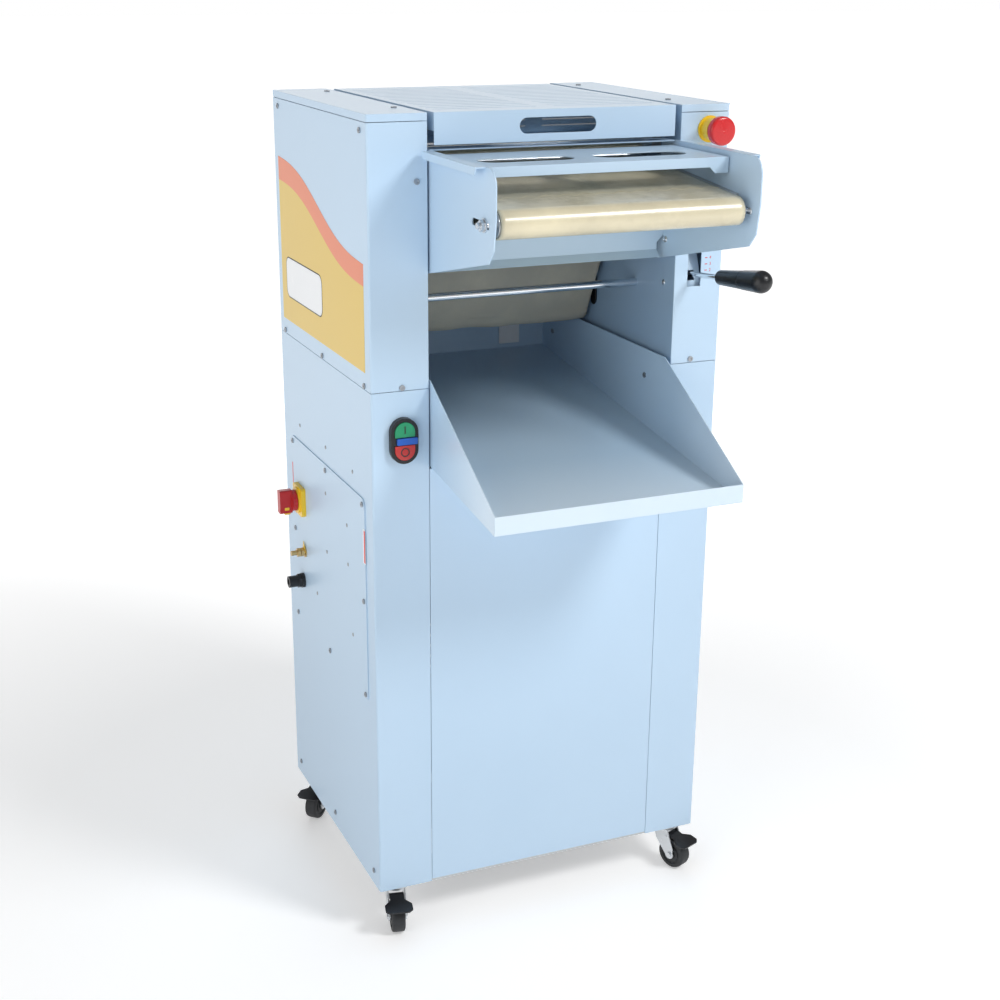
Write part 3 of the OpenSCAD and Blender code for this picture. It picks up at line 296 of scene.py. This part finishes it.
v = finishValues
finishes = dict(
    coat=paintCoat("cabinetPowderCoat", v["coat"], v["coatPale"], v["coatRough"]),
    # inner: the cabinet powder coat darkened as painted shade
    inner=paintCoat("shadedInnerCoat", v["shadedInterior"], v["shadedInteriorPale"], v["coatRough"] + 0.06),
    sheet=metal("galvanisedSheet", v["steel"], 0.42, (120, 120, 120), 0.2),
    zinc=metal("brightZinc", v["zinc"], 0.26, (40, 40, 40), 0.14),
    screw=metal("dullScrew", (0.42, 0.44, 0.47), 0.34, (60, 60, 60), 0.2),
    turned=metal("turnedSteel", (0.60, 0.61, 0.62), 0.28, (1400, 30, 30), 0.15),
    polished=metal("polishedRoller", (0.78, 0.80, 0.82), 0.10, (1600, 20, 20), 0.06),
    chrome=metal("chromeRod", (0.80, 0.83, 0.86), 0.09, (60, 400, 400), 0.08),
    chain=metal("oiledChain", (0.20, 0.19, 0.18), 0.45, (500, 500, 500), 0.4),
    brass=metal("turnedBrass", (0.72, 0.52, 0.24), 0.30, (900, 200, 200), 0.25),
    motor=paintCoat("motorEnamel", (0.10, 0.12, 0.15), (0.13, 0.15, 0.18), 0.45),
    belt=beltFinish("creamBelt", v["belt"], 0.26, 0.0011, 0.00004, (0.62, 0.56, 0.40), 0.55),
    canvas=beltFinish("mouldingCanvas", v["canvas"], 0.62, 0.0016, 0.00022, (0.46, 0.43, 0.35), 0.0),
    grip=moulded("blackGrip", (0.005, 0.006, 0.008), 0.30),
    black=moulded("blackMoulding", (0.007, 0.007, 0.009), 0.34),
    pedal=moulded("pedalNylon", (0.006, 0.007, 0.010), 0.30, 900.0),
    tread=moulded("wheelTread", (0.020, 0.022, 0.025), 0.55, 700.0, 0.00012),
    yellow=moulded("yellowMoulding", (0.86, 0.56, 0.02), 0.30, coat=0.2),
    red=moulded("redMoulding", (0.46, 0.008, 0.010), 0.30, coat=0.1),
    mushroom=moulded("mushroomRed", (0.62, 0.010, 0.014), 0.24, coat=0.4),
    green=moulded("greenButton", (0.004, 0.270, 0.110), 0.28, coat=0.4),
    stop=moulded("stopButtonRed", (0.50, 0.014, 0.010), 0.28, coat=0.4),
    blue=moulded("blueLabel", (0.004, 0.090, 0.46), 0.30, coat=0.3),
    white=moulded("whitePrint", (0.86, 0.88, 0.90), 0.40),
    ink=moulded("blackInk", (0.02, 0.02, 0.02), 0.45),
    redInk=moulded("redInk", (0.75, 0.03, 0.03), 0.42),
)


def decalFinish():
    # printed film: a yellow field under an orange band; heights run from the lid's hinge
    values = dict(yellow=(0.72, 0.49, 0.06), orange=(0.77, 0.19, 0.07), drop=0.186, rise=0.100,
                  swing=0.012, band=0.030, widen=0.005, blur=0.0004)
    film = Finish("sideFilm", Coat_Weight=0.12, Coat_Roughness=0.2)
    x, y, z = film.axes()
    lowest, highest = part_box("side_decal")
    run = (y - lowest.y) / (highest.y - lowest.y)
    front = joints["lid_hinge"]["pos_m"][2] - values["drop"]
    edge = run * values["rise"] + front - (run * turn).sine() * values["swing"]
    band = film.ramp((edge - z) - (run * values["widen"] + values["band"]), -values["blur"], values["blur"],
                     0.0, 1.0)
    field = film.mix(band, values["orange"], values["yellow"])
    film.put(Base_Color=field, Roughness=0.30 + film.noise(600.0) * 0.06)
    film.bump(film.noise(900.0), 0.00004, 0.4)
    return film.material


finishes["decal"] = decalFinish()

# painted reflection on the tray floor: paler blue toward the open front
paintedFrontGlare = dict(colour=(0.72, 0.83, 0.93), fade=0.20, full=0.02, most=0.75)


def trayFinish():
    # powder coat with a painted reflection: a paler blue, patchy and a little rougher, that grows toward the
    # open front
    coat = Finish("trayPowderCoat", Coat_Weight=0.18, Coat_Roughness=0.25)
    x, y, z = coat.axes()
    frontEdge = low("discharge_tray").y
    near = coat.ramp(y, frontEdge + paintedFrontGlare["fade"], frontEdge + paintedFrontGlare["full"], 0.0, paintedFrontGlare["most"])
    frontGlare = near * (coat.noise(5.0, 5.0, 0.6) * 0.5 + 0.75)
    coat.put(Base_Color=coat.mix(frontGlare, finishValues["coat"], paintedFrontGlare["colour"]),
             Roughness=frontGlare * 0.15 + 0.28)
    coat.bump(coat.noise(900.0, 2.0), 0.00006, 0.6, 0.0007)
    return coat.material


finishes["tray"] = trayFinish()

nodeFinish = dict(
    coat="left_lower_cover right_lower_cover left_upper_cover right_upper_cover column_caps "
         "lower_front_panel back_panel side_access_cover belt_apron infeed_cheeks "
         "top_lid infeed_guard",
    # frame plates take the darker coat as painted shade
    inner="left_frame_plate right_frame_plate",
    tray="discharge_tray",
    sheet="base_frame frame_tie_bars pressure_board infeed_bed roller_scraper roller_carriage",
    screw="cover_screws",
    zinc="tension_bolts castor_plates front_left_fork front_right_fork "
         "rear_left_fork rear_right_fork",
    turned="infeed_drive_roller infeed_nose_roller moulding_top_roller moulding_bottom_roller motor_sprocket",
    polished="upper_roller lower_roller",
    chrome="gap_shaft gap_lever",
    chain="drive_chains",
    brass="earth_terminal",
    motor="gearmotor",
    belt="infeed_belt",
    canvas="moulding_belt",
    grip="lever_grip",
    black="cable_gland start_stop_housing",
    pedal="front_left_brake front_right_brake rear_left_brake rear_right_brake",
    tread="front_left_wheel front_right_wheel rear_left_wheel rear_right_wheel",
    yellow="main_switch_base estop_collar",
    red="main_switch_knob",
    mushroom="estop_head",
    green="start_button",
    stop="stop_button",
    decal="side_decal",
)
for finish, names in nodeFinish.items():
    for name in names.split():
        node = frame["nodes"][name]
        node.data.materials.clear()
        node.data.materials.append(finishes[finish])
print("stage: finishes")


# helpers for pieces

def addPiece(name, mesh, finish, body):
    # a finished mesh becomes a piece that rides on a body
    piece = bpy.data.objects.new(name, mesh)
    bpy.context.collection.objects.link(piece)
    mesh.materials.append(finishes[finish])
    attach(piece, body)
    return piece


def meshFrom(name, build, smooth=False):
    # build(bm) fills a bmesh; the result is cleaned and given outward normals
    bm = bmesh.new()
    build(bm)
    bmesh.ops.remove_doubles(bm, verts=bm.verts, dist=1e-6)
    bmesh.ops.recalc_face_normals(bm, faces=bm.faces)
    mesh = bpy.data.meshes.new(name)
    bm.to_mesh(mesh)
    bm.free()
    for polygon in mesh.polygons:
        polygon.use_smooth = smooth
    return mesh


def ring(bm, points):
    return [bm.verts.new(p) for p in points]


def skinRings(bm, rings, closed=True, caps=True):
    # quads between rings of the same length, with flat ends
    for first, second in zip(rings, rings[1:]):
        count = len(first)
        for i in range(count if closed else count - 1):
            j = (i + 1) % count
            bm.faces.new((first[i], first[j], second[j], second[i]))
    if caps:
        bm.faces.new(list(reversed(rings[0])))
        bm.faces.new(rings[-1])


def turnedShape(bm, profile, centre, axis, steps=48):
    # profile is (distance along the axis, radius) from end to end
    axis = Vector(axis).normalized()
    side = axis.orthogonal().normalized()
    other = axis.cross(side)
    rings = []
    for along, radius in profile:
        if radius < 1e-7:
            rings.append([bm.verts.new(Vector(centre) + axis * along)])
            continue
        rings.append(ring(bm, [
            Vector(centre) + axis * along
            + (side * math.cos(turn * i / steps) + other * math.sin(turn * i / steps)) * radius
            for i in range(steps)]))
    for first, second in zip(rings, rings[1:]):
        for i in range(steps):
            j = (i + 1) % steps
            if len(first) == 1:
                bm.faces.new((first[0], second[j], second[i]))
            elif len(second) == 1:
                bm.faces.new((first[i], first[j], second[0]))
            else:
                bm.faces.new((first[i], first[j], second[j], second[i]))
    for end in (rings[0], rings[-1]):
        if len(end) > 1:
            bm.faces.new(end)


def roundedOutline(width, height, radius, steps=8):
    points = []
    for cx, cy, start in ((1, 1, 0), (-1, 1, 90), (-1, -1, 180), (1, -1, 270)):
        for i in range(steps + 1):
            angle = math.radians(start + 90 * i / steps)
            points.append((cx * (width / 2 - radius) + radius * math.cos(angle),
                           cy * (height / 2 - radius) + radius * math.sin(angle)))
    return points


def plateShape(bm, outline, centre, right, up, thick, edge=0.0):
    # a thin plate with softened edges; its face looks along right x up
    right, up = Vector(right), Vector(up)
    out = right.cross(up)
    rings = []
    for depth, inset in ((0, 0), (thick - edge, 0), (thick, edge)):
        shrink = []
        for x, y in outline:
            length = math.hypot(x, y) or 1
            keep = 1 - inset / length
            shrink.append(Vector(centre) + right * (x * keep) + up * (y * keep) + out * depth)
        rings.append(ring(bm, shrink))
    skinRings(bm, rings)


def hexagon(radius):
    return [(radius * math.cos(math.pi / 3 * i), radius * math.sin(math.pi / 3 * i)) for i in range(6)]


def boltShape(bm, place, axis, head=0.0065, thick=0.005):
    # washer, hexagon and the end of the thread
    axis = Vector(axis).normalized()
    turnedShape(bm, [(0, head * 1.25), (0.0012, head * 1.25), (0.0014, head * 1.15)], place, axis, 32)
    side = axis.orthogonal().normalized()
    plateShape(bm, hexagon(head), Vector(place) + axis * 0.0014, side, axis.cross(side), thick, 0.0006)
    turnedShape(bm, [(0, head * 0.5), (0.003, head * 0.5), (0.0035, head * 0.42)],
                Vector(place) + axis * (0.0014 + thick), axis, 24)


# places that several pieces share

frontY = low("left_lower_cover").y
leftX = low("left_lower_cover").x
openLeft = high("left_upper_cover").x
openRight = low("right_upper_cover").x
coverX = low("side_access_cover").x
leverShaft = Vector(joints["lever_hinge"]["pos_m"])
baseZ = low("base_frame").z
xAxis, zAxis = (1, 0, 0), (0, 0, 1)
toLeft, toRear, toFront = (-1, 0, 0), (0, 1, 0), (0, -1, 0)

# closed bands

def bandPath(first, second, radius, frontRun):
    # stations round two rollers, from the top of the front run: place, outward direction, zone and share
    down = (second - first).normalized()
    length = (second - first).length
    out = Vector((0, -down.z, down.y))
    if out.dot(Vector(frontRun)) < 0:
        out.negate()
    runSteps, turnSteps = 48, 18
    path = []
    for i in range(runSteps):
        t = i / runSteps
        path.append((first + out * radius + down * (length * t), out, "front", t))
    for i in range(turnSteps):
        angle = math.pi * i / turnSteps
        path.append((second, out * math.cos(angle) + down * math.sin(angle), "foot", i / turnSteps))
    for i in range(runSteps):
        t = 1 - i / runSteps
        path.append((first - out * radius + down * (length * t), -out, "rear", t))
    for i in range(turnSteps):
        angle = math.pi * i / turnSteps
        path.append((first, -out * math.cos(angle) - down * math.sin(angle), "top", i / turnSteps))
    return [(place + (direction * radius if zone in ("foot", "top") else Vector()), direction, zone, t)
            for place, direction, zone, t in path], 2 * length + 2 * math.pi * radius


def closedBand(name, node, first, second, frontRun, finish, thick, slack, across):
    # a band round two rollers; slack(u, t, zone) pushes it outward
    lowest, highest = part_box(node)
    radius = highest.z - max(first.z, second.z)
    path, flatLength = bandPath(first, second, radius, frontRun)
    width = highest.x - lowest.x

    def build(bm):
        columns = []
        for i in range(across + 1):
            u = i / across
            x = lowest.x + width * u
            outer, inner = [], []
            for place, out, zone, t in path:
                skin = place + out * slack(u, t, zone)
                outer.append(bm.verts.new((x, skin.y, skin.z)))
                under = skin - out * thick
                inner.append(bm.verts.new((x, under.y, under.z)))
            columns.append((outer, inner))
        count = len(path)
        for (outerA, innerA), (outerB, innerB) in zip(columns, columns[1:]):
            for j in range(count):
                k = (j + 1) % count
                bm.faces.new((outerA[j], outerB[j], outerB[k], outerA[k]))
                bm.faces.new((innerA[k], innerB[k], innerB[j], innerA[j]))
        for outer, inner in (columns[0], columns[-1]):
            for j in range(count):
                k = (j + 1) % count
                bm.faces.new((outer[j], outer[k], inner[k], inner[j]))

    piece = addPiece(name, meshFrom(name, build, True), finish, "cabinet")
    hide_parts(node)


cloth = dict(thick=0.0018, across=110, sag=0.0075, hang=0.006, folds=3.2, seed=7,
             shift=2.2, calm=0.55, taut=0.25)
random.seed(cloth["seed"])
waves = [(random.uniform(0.6, 1.4) * cloth["folds"] * (k + 1), random.uniform(0, 6.28), 1 / (k + 1.2))
         for k in range(5)]


def clothSlack(u, t, zone):
    # the front run hangs loose, so it puckers near its foot
    pucker = sum(a * math.sin(math.pi * f * u + p + cloth["shift"] * t) for f, p, a in waves) / 2.2
    loose = cloth["sag"] * (cloth["calm"] + (1 - cloth["calm"]) * pucker)
    if zone == "front":
        return loose * (max(0.0, t - cloth["taut"]) / (1 - cloth["taut"])) ** 1.6
    if zone == "foot":
        fade = max(0.0, math.cos(math.pi * t * 0.62)) ** 2
        return (loose + cloth["hang"] * math.sin(math.pi * min(1, t * 1.3)) * 0.6) * fade
    return 0.0


upperTurn = Vector(joints["moulding_top_spin"]["pos_m"])
lowerTurn = Vector(joints["moulding_bottom_spin"]["pos_m"])
closedBand("mouldingCloth", "moulding_belt", upperTurn, lowerTurn, toFront, "canvas",
           cloth["thick"], clothSlack, cloth["across"])
print("stage: moulding cloth")

belt = dict(thick=0.0022, across=60, ripple=0.0007)
splice = dict(reach=0.010, teeth=26, rise=0.0003, at=0.055, half=0.0004, margin=0.001, sink=0.0001)
nose = Vector(joints["infeed_nose_spin"]["pos_m"])
drive = Vector(joints["infeed_drive_spin"]["pos_m"])


def beltSlack(u, t, zone):
    # a taut belt with a faint ripple along its top run
    if zone != "front":
        return 0.0
    return -belt["ripple"] * math.sin(math.pi * t) ** 2 * (0.6 + 0.4 * math.sin(9 * u + 4 * t))


closedBand("infeedBand", "infeed_belt", drive, nose, zAxis, "belt", belt["thick"],
           beltSlack, belt["across"])


def beltSplice():
    # finger splice across the top run, a hair proud of it
    lowest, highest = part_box("infeed_belt")
    along = (drive - nose).normalized()
    up = Vector((0, -along.z, along.y))
    radius = nose.y - lowest.y
    centre = nose + along * splice["at"] + up * (radius - splice["sink"])
    width = highest.x - lowest.x - 2 * splice["margin"]
    back, rise = along * splice["half"], up * splice["rise"]

    def build(bm):
        teeth = splice["teeth"]
        rings = []
        for i in range(teeth + 1):
            x = lowest.x + splice["margin"] + width * i / teeth
            shift = splice["reach"] * (0.5 if i % 2 else -0.5)
            base = Vector((x, centre.y, centre.z)) + along * shift
            rings.append(ring(bm, [base - back, base + back, base + back + rise, base - back + rise]))
        skinRings(bm, rings)

    addPiece("beltSplice", meshFrom("beltSplice", build), "belt", "cabinet")


beltSplice()
print("stage: infeed belt")

# lever slot

shutter = dict(radius=0.1100, width=0.030, thick=0.0008, above=40, below=30, steps=40,
               hole=(-0.0112, 0.0056, 0.0072), rodHeight=0.907)


def leverShutter():
    # curved shutter fixed to the lever; it covers the slot behind the cover and leaves a hole for the rod
    leverX = middle("gap_lever").x
    rodAngle = math.atan2(shutter["rodHeight"] + baseZ - leverShaft.z, shutter["radius"])
    start, end = rodAngle - math.radians(shutter["below"]), rodAngle + math.radians(shutter["above"])

    def build(bm):
        half = shutter["width"] / 2
        holeLeft, holeRight, holeHalf = shutter["hole"]
        steps = shutter["steps"]
        holeLow = rodAngle - holeHalf / shutter["radius"]
        holeHigh = rodAngle + holeHalf / shutter["radius"]
        spread = [start + (end - start) * i / steps for i in range(steps + 1)]
        angles = sorted(set(spread + [holeLow, holeHigh]))
        xs = [-half, holeLeft, holeRight, half]
        grid = []
        for angle in angles:
            layer = []
            for radius in (shutter["radius"], shutter["radius"] + shutter["thick"]):
                y = leverShaft.y - radius * math.cos(angle)
                z = leverShaft.z + radius * math.sin(angle)
                layer.append([bm.verts.new((leverX + x, y, z)) for x in xs])
            grid.append(layer)

        def isHole(i, j):
            return j == 1 and holeLow - 1e-9 <= angles[i] and angles[i + 1] <= holeHigh + 1e-9

        for i in range(len(angles) - 1):
            for j in range(3):
                if isHole(i, j):
                    continue
                here, after = grid[i], grid[i + 1]
                for layer in (0, 1):
                    bm.faces.new((here[layer][j], here[layer][j + 1], after[layer][j + 1], after[layer][j]))
                for side, other in ((j, j - 1), (j + 1, j + 1)):
                    if other < 0 or other > 2 or isHole(i, other):
                        bm.faces.new((here[0][side], after[0][side], after[1][side], here[1][side]))
                for row, other in ((here, i - 1), (after, i + 1)):
                    if other < 0 or other >= len(angles) - 1 or isHole(other, j):
                        bm.faces.new((row[0][j], row[0][j + 1], row[1][j + 1], row[1][j]))

    addPiece("leverShutter", meshFrom("leverShutter", build), "coat", "lever")


leverShutter()

scale = dict(x=0.2438, digitX=0.2505, heights=(0.9323, 0.9232, 0.9143), dash=(0.0042, 0.0011),
             digit=0.0062, film=0.00015)


def gapScale():
    # red dashes and digits beside the slot
    for digit, height in zip("432", scale["heights"]):
        z = height + baseZ

        def build(bm, z=z):
            w, h = scale["dash"]
            plateShape(bm, roundedOutline(w, h, h * 0.3, 3), (scale["x"], frontY, z), xAxis, zAxis,
                       scale["film"])

        addPiece("gapDash" + digit, meshFrom("gapDash" + digit, build), "redInk", "cabinet")
        text = bpy.data.curves.new("gapDigit" + digit, "FONT")
        text.body = digit
        text.size = scale["digit"]
        text.extrude = scale["film"] / 2
        text.align_x, text.align_y = "CENTER", "CENTER"
        mark = bpy.data.objects.new("gapDigit" + digit, text)
        mark.rotation_euler = (math.pi / 2, 0, 0)
        mark.location = (scale["digitX"], frontY - scale["film"] / 2, z)
        bpy.context.collection.objects.link(mark)
        text.materials.append(finishes["redInk"])
        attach(mark, "cabinet")


gapScale()
print("stage: lever slot and scale")

# start and stop station

station = dict(barWidth=0.030, barHeight=0.0095, barThick=0.0035, barShift=0.003, markWidth=0.0016,
               markHeight=0.011, ring=0.0056, ringWire=0.0008, ringRise=0.001, ringSteps=48)


def stationMarks():
    green, red = middle("start_button"), middle("stop_button")
    face = low("start_button").y
    housing = low("start_stop_housing").y
    centre = middle("start_stop_housing")

    def bar(bm):
        plateShape(bm, roundedOutline(station["barWidth"], station["barHeight"], 0.0015, 4),
                   (centre.x + station["barShift"], housing, (green.z + red.z) / 2), xAxis, zAxis,
                   station["barThick"], 0.0006)

    addPiece("stationBar", meshFrom("stationBar", bar), "blue", "cabinet")

    def stroke(bm):
        plateShape(bm, roundedOutline(station["markWidth"], station["markHeight"], 0.0005, 3),
                   (green.x, face, green.z), xAxis, zAxis, 0.0003)

    addPiece("startMark", meshFrom("startMark", stroke), "ink", "start_button")

    def circle(bm):
        hub = Vector((red.x, face, red.z + station["ringRise"]))
        wire = station["ringWire"]
        section = ((-wire, 0.0001), (-wire, -0.0003), (wire, -0.0003), (wire, 0.0001))
        rings = []
        for i in range(station["ringSteps"]):
            a = turn * i / station["ringSteps"]
            out = Vector((math.cos(a), 0, math.sin(a)))
            rings.append(ring(bm, [hub + out * (station["ring"] + dx) + Vector((0, dy, 0))
                                   for dx, dy in section]))
        skinRings(bm, rings + [rings[0]], True, False)

    addPiece("stopMark", meshFrom("stopMark", circle), "ink", "stop_button")


stationMarks()

# main switch and earth tag on the access cover

switchTrim = dict(window=(0.0075, 0.0045, 0.0006), windowAt=(0.011, 0.0075, 0.008),
                  tab=(0.010, 0.008, 0.003), tabAt=(0.013, 0.0002), ticks=9, tickFrom=-10, tickSpan=110,
                  tickRadius=0.0205, tickDepth=0.003, tick=(0.0016, 0.0006))


def switchDetails():
    knob = Vector(joints["main_switch_turn"]["pos_m"])
    lowest = low("main_switch_knob")
    base = low("main_switch_base").x

    def tabs(bm):
        w, h, t = switchTrim["window"]
        dx, dy, dz = switchTrim["windowAt"]
        for side in (-1, 1):
            plateShape(bm, roundedOutline(w, h, 0.0008, 4),
                       (lowest.x + dx, knob.y + side * dy, lowest.z + dz), (-side, 0, 0), zAxis, t, 0.0002)
        w, h, t = switchTrim["tab"]
        dx, dz = switchTrim["tabAt"]
        plateShape(bm, roundedOutline(w, h, 0.0015, 4), (lowest.x + dx, knob.y, lowest.z + dz),
                   toLeft, toRear, t, 0.0005)

    addPiece("switchLockTabs", meshFrom("switchLockTabs", tabs), "yellow", "main_switch")

    def ticks(bm):
        for i in range(switchTrim["ticks"]):
            a = math.radians(switchTrim["tickFrom"] + switchTrim["tickSpan"] * i / (switchTrim["ticks"] - 1))
            out = Vector((0, math.sin(a), math.cos(a)))
            place = Vector((base + switchTrim["tickDepth"], knob.y, knob.z)) + out * switchTrim["tickRadius"]
            plateShape(bm, roundedOutline(*switchTrim["tick"], 0.0002, 2), place, out,
                       out.cross(Vector(xAxis)), 0.00015)

    addPiece("switchTicks", meshFrom("switchTicks", ticks), "ink", "cabinet")


switchDetails()

earthTag = dict(size=0.013, thick=0.0008, standOff=0.0021, rise=0.006)


def earthPlate():
    # plain yellow tag held behind the nuts of the earth stud
    centre = middle("earth_terminal")

    def build(bm):
        size = earthTag["size"]
        outline = [(0, size * 0.95), (-size * 0.62, -size * 0.45), (size * 0.62, -size * 0.45)]
        place = (coverX - earthTag["standOff"], centre.y, centre.z + earthTag["rise"])
        plateShape(bm, outline, place, toFront, zAxis, earthTag["thick"], 0.0003)

    addPiece("earthTag", meshFrom("earthTag", build), "yellow", "cabinet")


earthPlate()
print("stage: controls")

# rivets, bolts and film on the covers

rivets = dict(radius=0.0030, rise=0.0012,  # spots: millimetres behind the front face and above the base
              spots=[(348, 643), (215, 644), (88, 643), (217, 571), (115, 553),
                     (218, 476), (114, 492), (276, 386), (98, 386)])


def dome(bm, place, axis, radius, rise):
    steps = 6
    curve = [math.pi / 2 * i / steps for i in range(steps + 1)]
    profile = [(-0.0002, radius)] + [(rise * math.sin(a), radius * math.cos(a)) for a in curve]
    turnedShape(bm, profile, place, axis, 24)


def coverRivets():
    def build(bm):
        for back, up in rivets["spots"]:
            z = baseZ + up * mm
            onCover = low("side_access_cover").z < z < high("side_access_cover").z
            dome(bm, (coverX if onCover else leftX, frontY + back * mm, z), toLeft, rivets["radius"],
                 rivets["rise"])

    addPiece("coverRivets", meshFrom("coverRivets", build, True), "screw", "cabinet")


coverRivets()


bolts = dict(guardGap=0.002, cheekBack=0.022, cheekDrop=0.141, cheekHead=(0.005, 0.004),
             wallBack=0.031, wallHeight=0.8945, wallHead=(0.0042, 0.0024))


def innerBolts():
    # bolts inside the infeed cheeks and one screw in each column wall
    def build(bm):
        cheekLeft = low("infeed_guard").x - bolts["guardGap"]
        cheekRight = high("infeed_guard").x + bolts["guardGap"]
        for x, axis in ((cheekLeft, xAxis), (cheekRight, toLeft)):
            place = (x, frontY + bolts["cheekBack"], high("infeed_cheeks").z - bolts["cheekDrop"])
            boltShape(bm, place, axis, *bolts["cheekHead"])
        for x, axis in ((openLeft, xAxis), (openRight, toLeft)):
            dome(bm, (x, frontY + bolts["wallBack"], bolts["wallHeight"] + baseZ), axis, *bolts["wallHead"])

    addPiece("innerBolts", meshFrom("innerBolts", build), "zinc", "cabinet")


innerBolts()

films = dict(badge=(0.182, 0.063, 0.014), badgeAt=(0.300, 0.8725), outline=0.0035, film=0.00012,
             stripHeight=0.622, strip=(0.010, 0.052), stripBack=0.037, bar=(0.0050, 0.0490), barBack=0.0355,
             rearBar=(0.0034, 0.050), rearBack=0.392)


def sideFilms():
    # plain badge with a dark outline, and two narrow strips with a red bar
    decalX = low("side_decal").x
    width, height, radius = films["badge"]
    back, up = films["badgeAt"]
    centre = (decalX, frontY + back, up + baseZ)
    border, thick = films["outline"], films["film"]

    def outer(bm):
        plateShape(bm, roundedOutline(width, height, radius), centre, toFront, zAxis, thick)

    def inner(bm):
        plateShape(bm, roundedOutline(width - border, height - border, radius - 0.0015),
                   (centre[0] - 0.00010, centre[1], centre[2]), toFront, zAxis, thick)

    addPiece("badgeOutline", meshFrom("badgeOutline", outer), "ink", "cabinet")
    addPiece("badgeField", meshFrom("badgeField", inner), "white", "cabinet")

    def strip(bm):
        plateShape(bm, roundedOutline(*films["strip"], 0.001, 2),
                   (coverX, frontY + films["stripBack"], films["stripHeight"]), toFront, zAxis, 0.00015)

    addPiece("stripField", meshFrom("stripField", strip), "white", "cabinet")

    def bars(bm):
        for size, x, back in ((films["bar"], coverX - thick, films["barBack"]),
                              (films["rearBar"], coverX, films["rearBack"])):
            plateShape(bm, roundedOutline(*size, 0.0006, 2), (x, frontY + back, films["stripHeight"]),
                       toFront, zAxis, thick)

    addPiece("stripMarks", meshFrom("stripMarks", bars), "redInk", "cabinet")


sideFilms()
print("stage: covers")

# inside the outlet

inside = dict(plate=(0.037, 0.036, 0.0015), plateAt=(0.120, 0.821), slotShade=(0.017, 0.045, 0.0012),
              slotShadeAt=(0.038, 0.918), gap=0.0025)


def outletDetails():
    # white plate in front of the tray's back wall, standing in as painted light for the gap there, and a
    # black oval as painted shade for the slot in the right wall
    backY = high("discharge_tray").y - inside["gap"]
    w, h, t = inside["plate"]
    x, z = inside["plateAt"]

    # painted light: a white plate for the light seen through the gap behind the tray
    def stop(bm):
        plateShape(bm, roundedOutline(w, h, 0.002, 4), (x, backY, z), xAxis, zAxis, t, 0.0004)

    addPiece("gapLightPlate", meshFrom("gapLightPlate", stop), "white", "cabinet")

    # painted shade: a black oval standing in for the dark slot in the right wall
    def oval(bm):
        w, h, t = inside["slotShade"]
        y, z = inside["slotShadeAt"]
        plateShape(bm, roundedOutline(w, h, w / 2 - 0.0002, 8), (openRight, y, z), toFront, zAxis, t, 0.0004)

    addPiece("wallSlotShade", meshFrom("wallSlotShade", oval), "black", "cabinet")


outletDetails()

race = dict(below=0.0026, steps=64,  # profile: height against radius, from the top down
            profile=[(0.0, 0.0218), (-0.0012, 0.0232), (-0.0026, 0.0238), (-0.0040, 0.0230),
                     (-0.0050, 0.0212)])


def castorRaces():
    # pressed raceway over each swivel
    def build(bm):
        for corner in ("front_left", "front_right", "rear_left", "rear_right"):
            swivel = joints[corner + "_swivel"]["pos_m"]
            place = (swivel[0], swivel[1], baseZ - race["below"])
            turnedShape(bm, race["profile"], place, zAxis, race["steps"])

    addPiece("castorRaces", meshFrom("castorRaces", build, True), "zinc", "cabinet")


castorRaces()
print("stage: outlet and castors")

floorValues = dict(size=80.0, colour=(0.93, 0.93, 0.93), near=0.32, far=0.85, rise=(0.8, 3.0))
floorFinish = Finish("paleFloor", Roughness=0.7, Emission_Strength=1.0)
x, y, z = floorFinish.axes()
away = floorFinish.ramp((x * x + y * y) ** 0.5, *floorValues["rise"], floorValues["near"], floorValues["far"])
floorFinish.put(Base_Color=floorFinish.mix(floorFinish.noise(2.0), floorValues["colour"], (0.95, 0.95, 0.95)),
                Emission_Color=floorFinish.mix(away, (0.0, 0.0, 0.0), (1.0, 1.0, 1.0)))
bpy.ops.mesh.primitive_plane_add(size=floorValues["size"], location=(0, 0, -0.0005))
floor = bpy.context.object
floor.name = "studioFloor"
floor.data.materials.append(floorFinish.material)

print("stage: done")
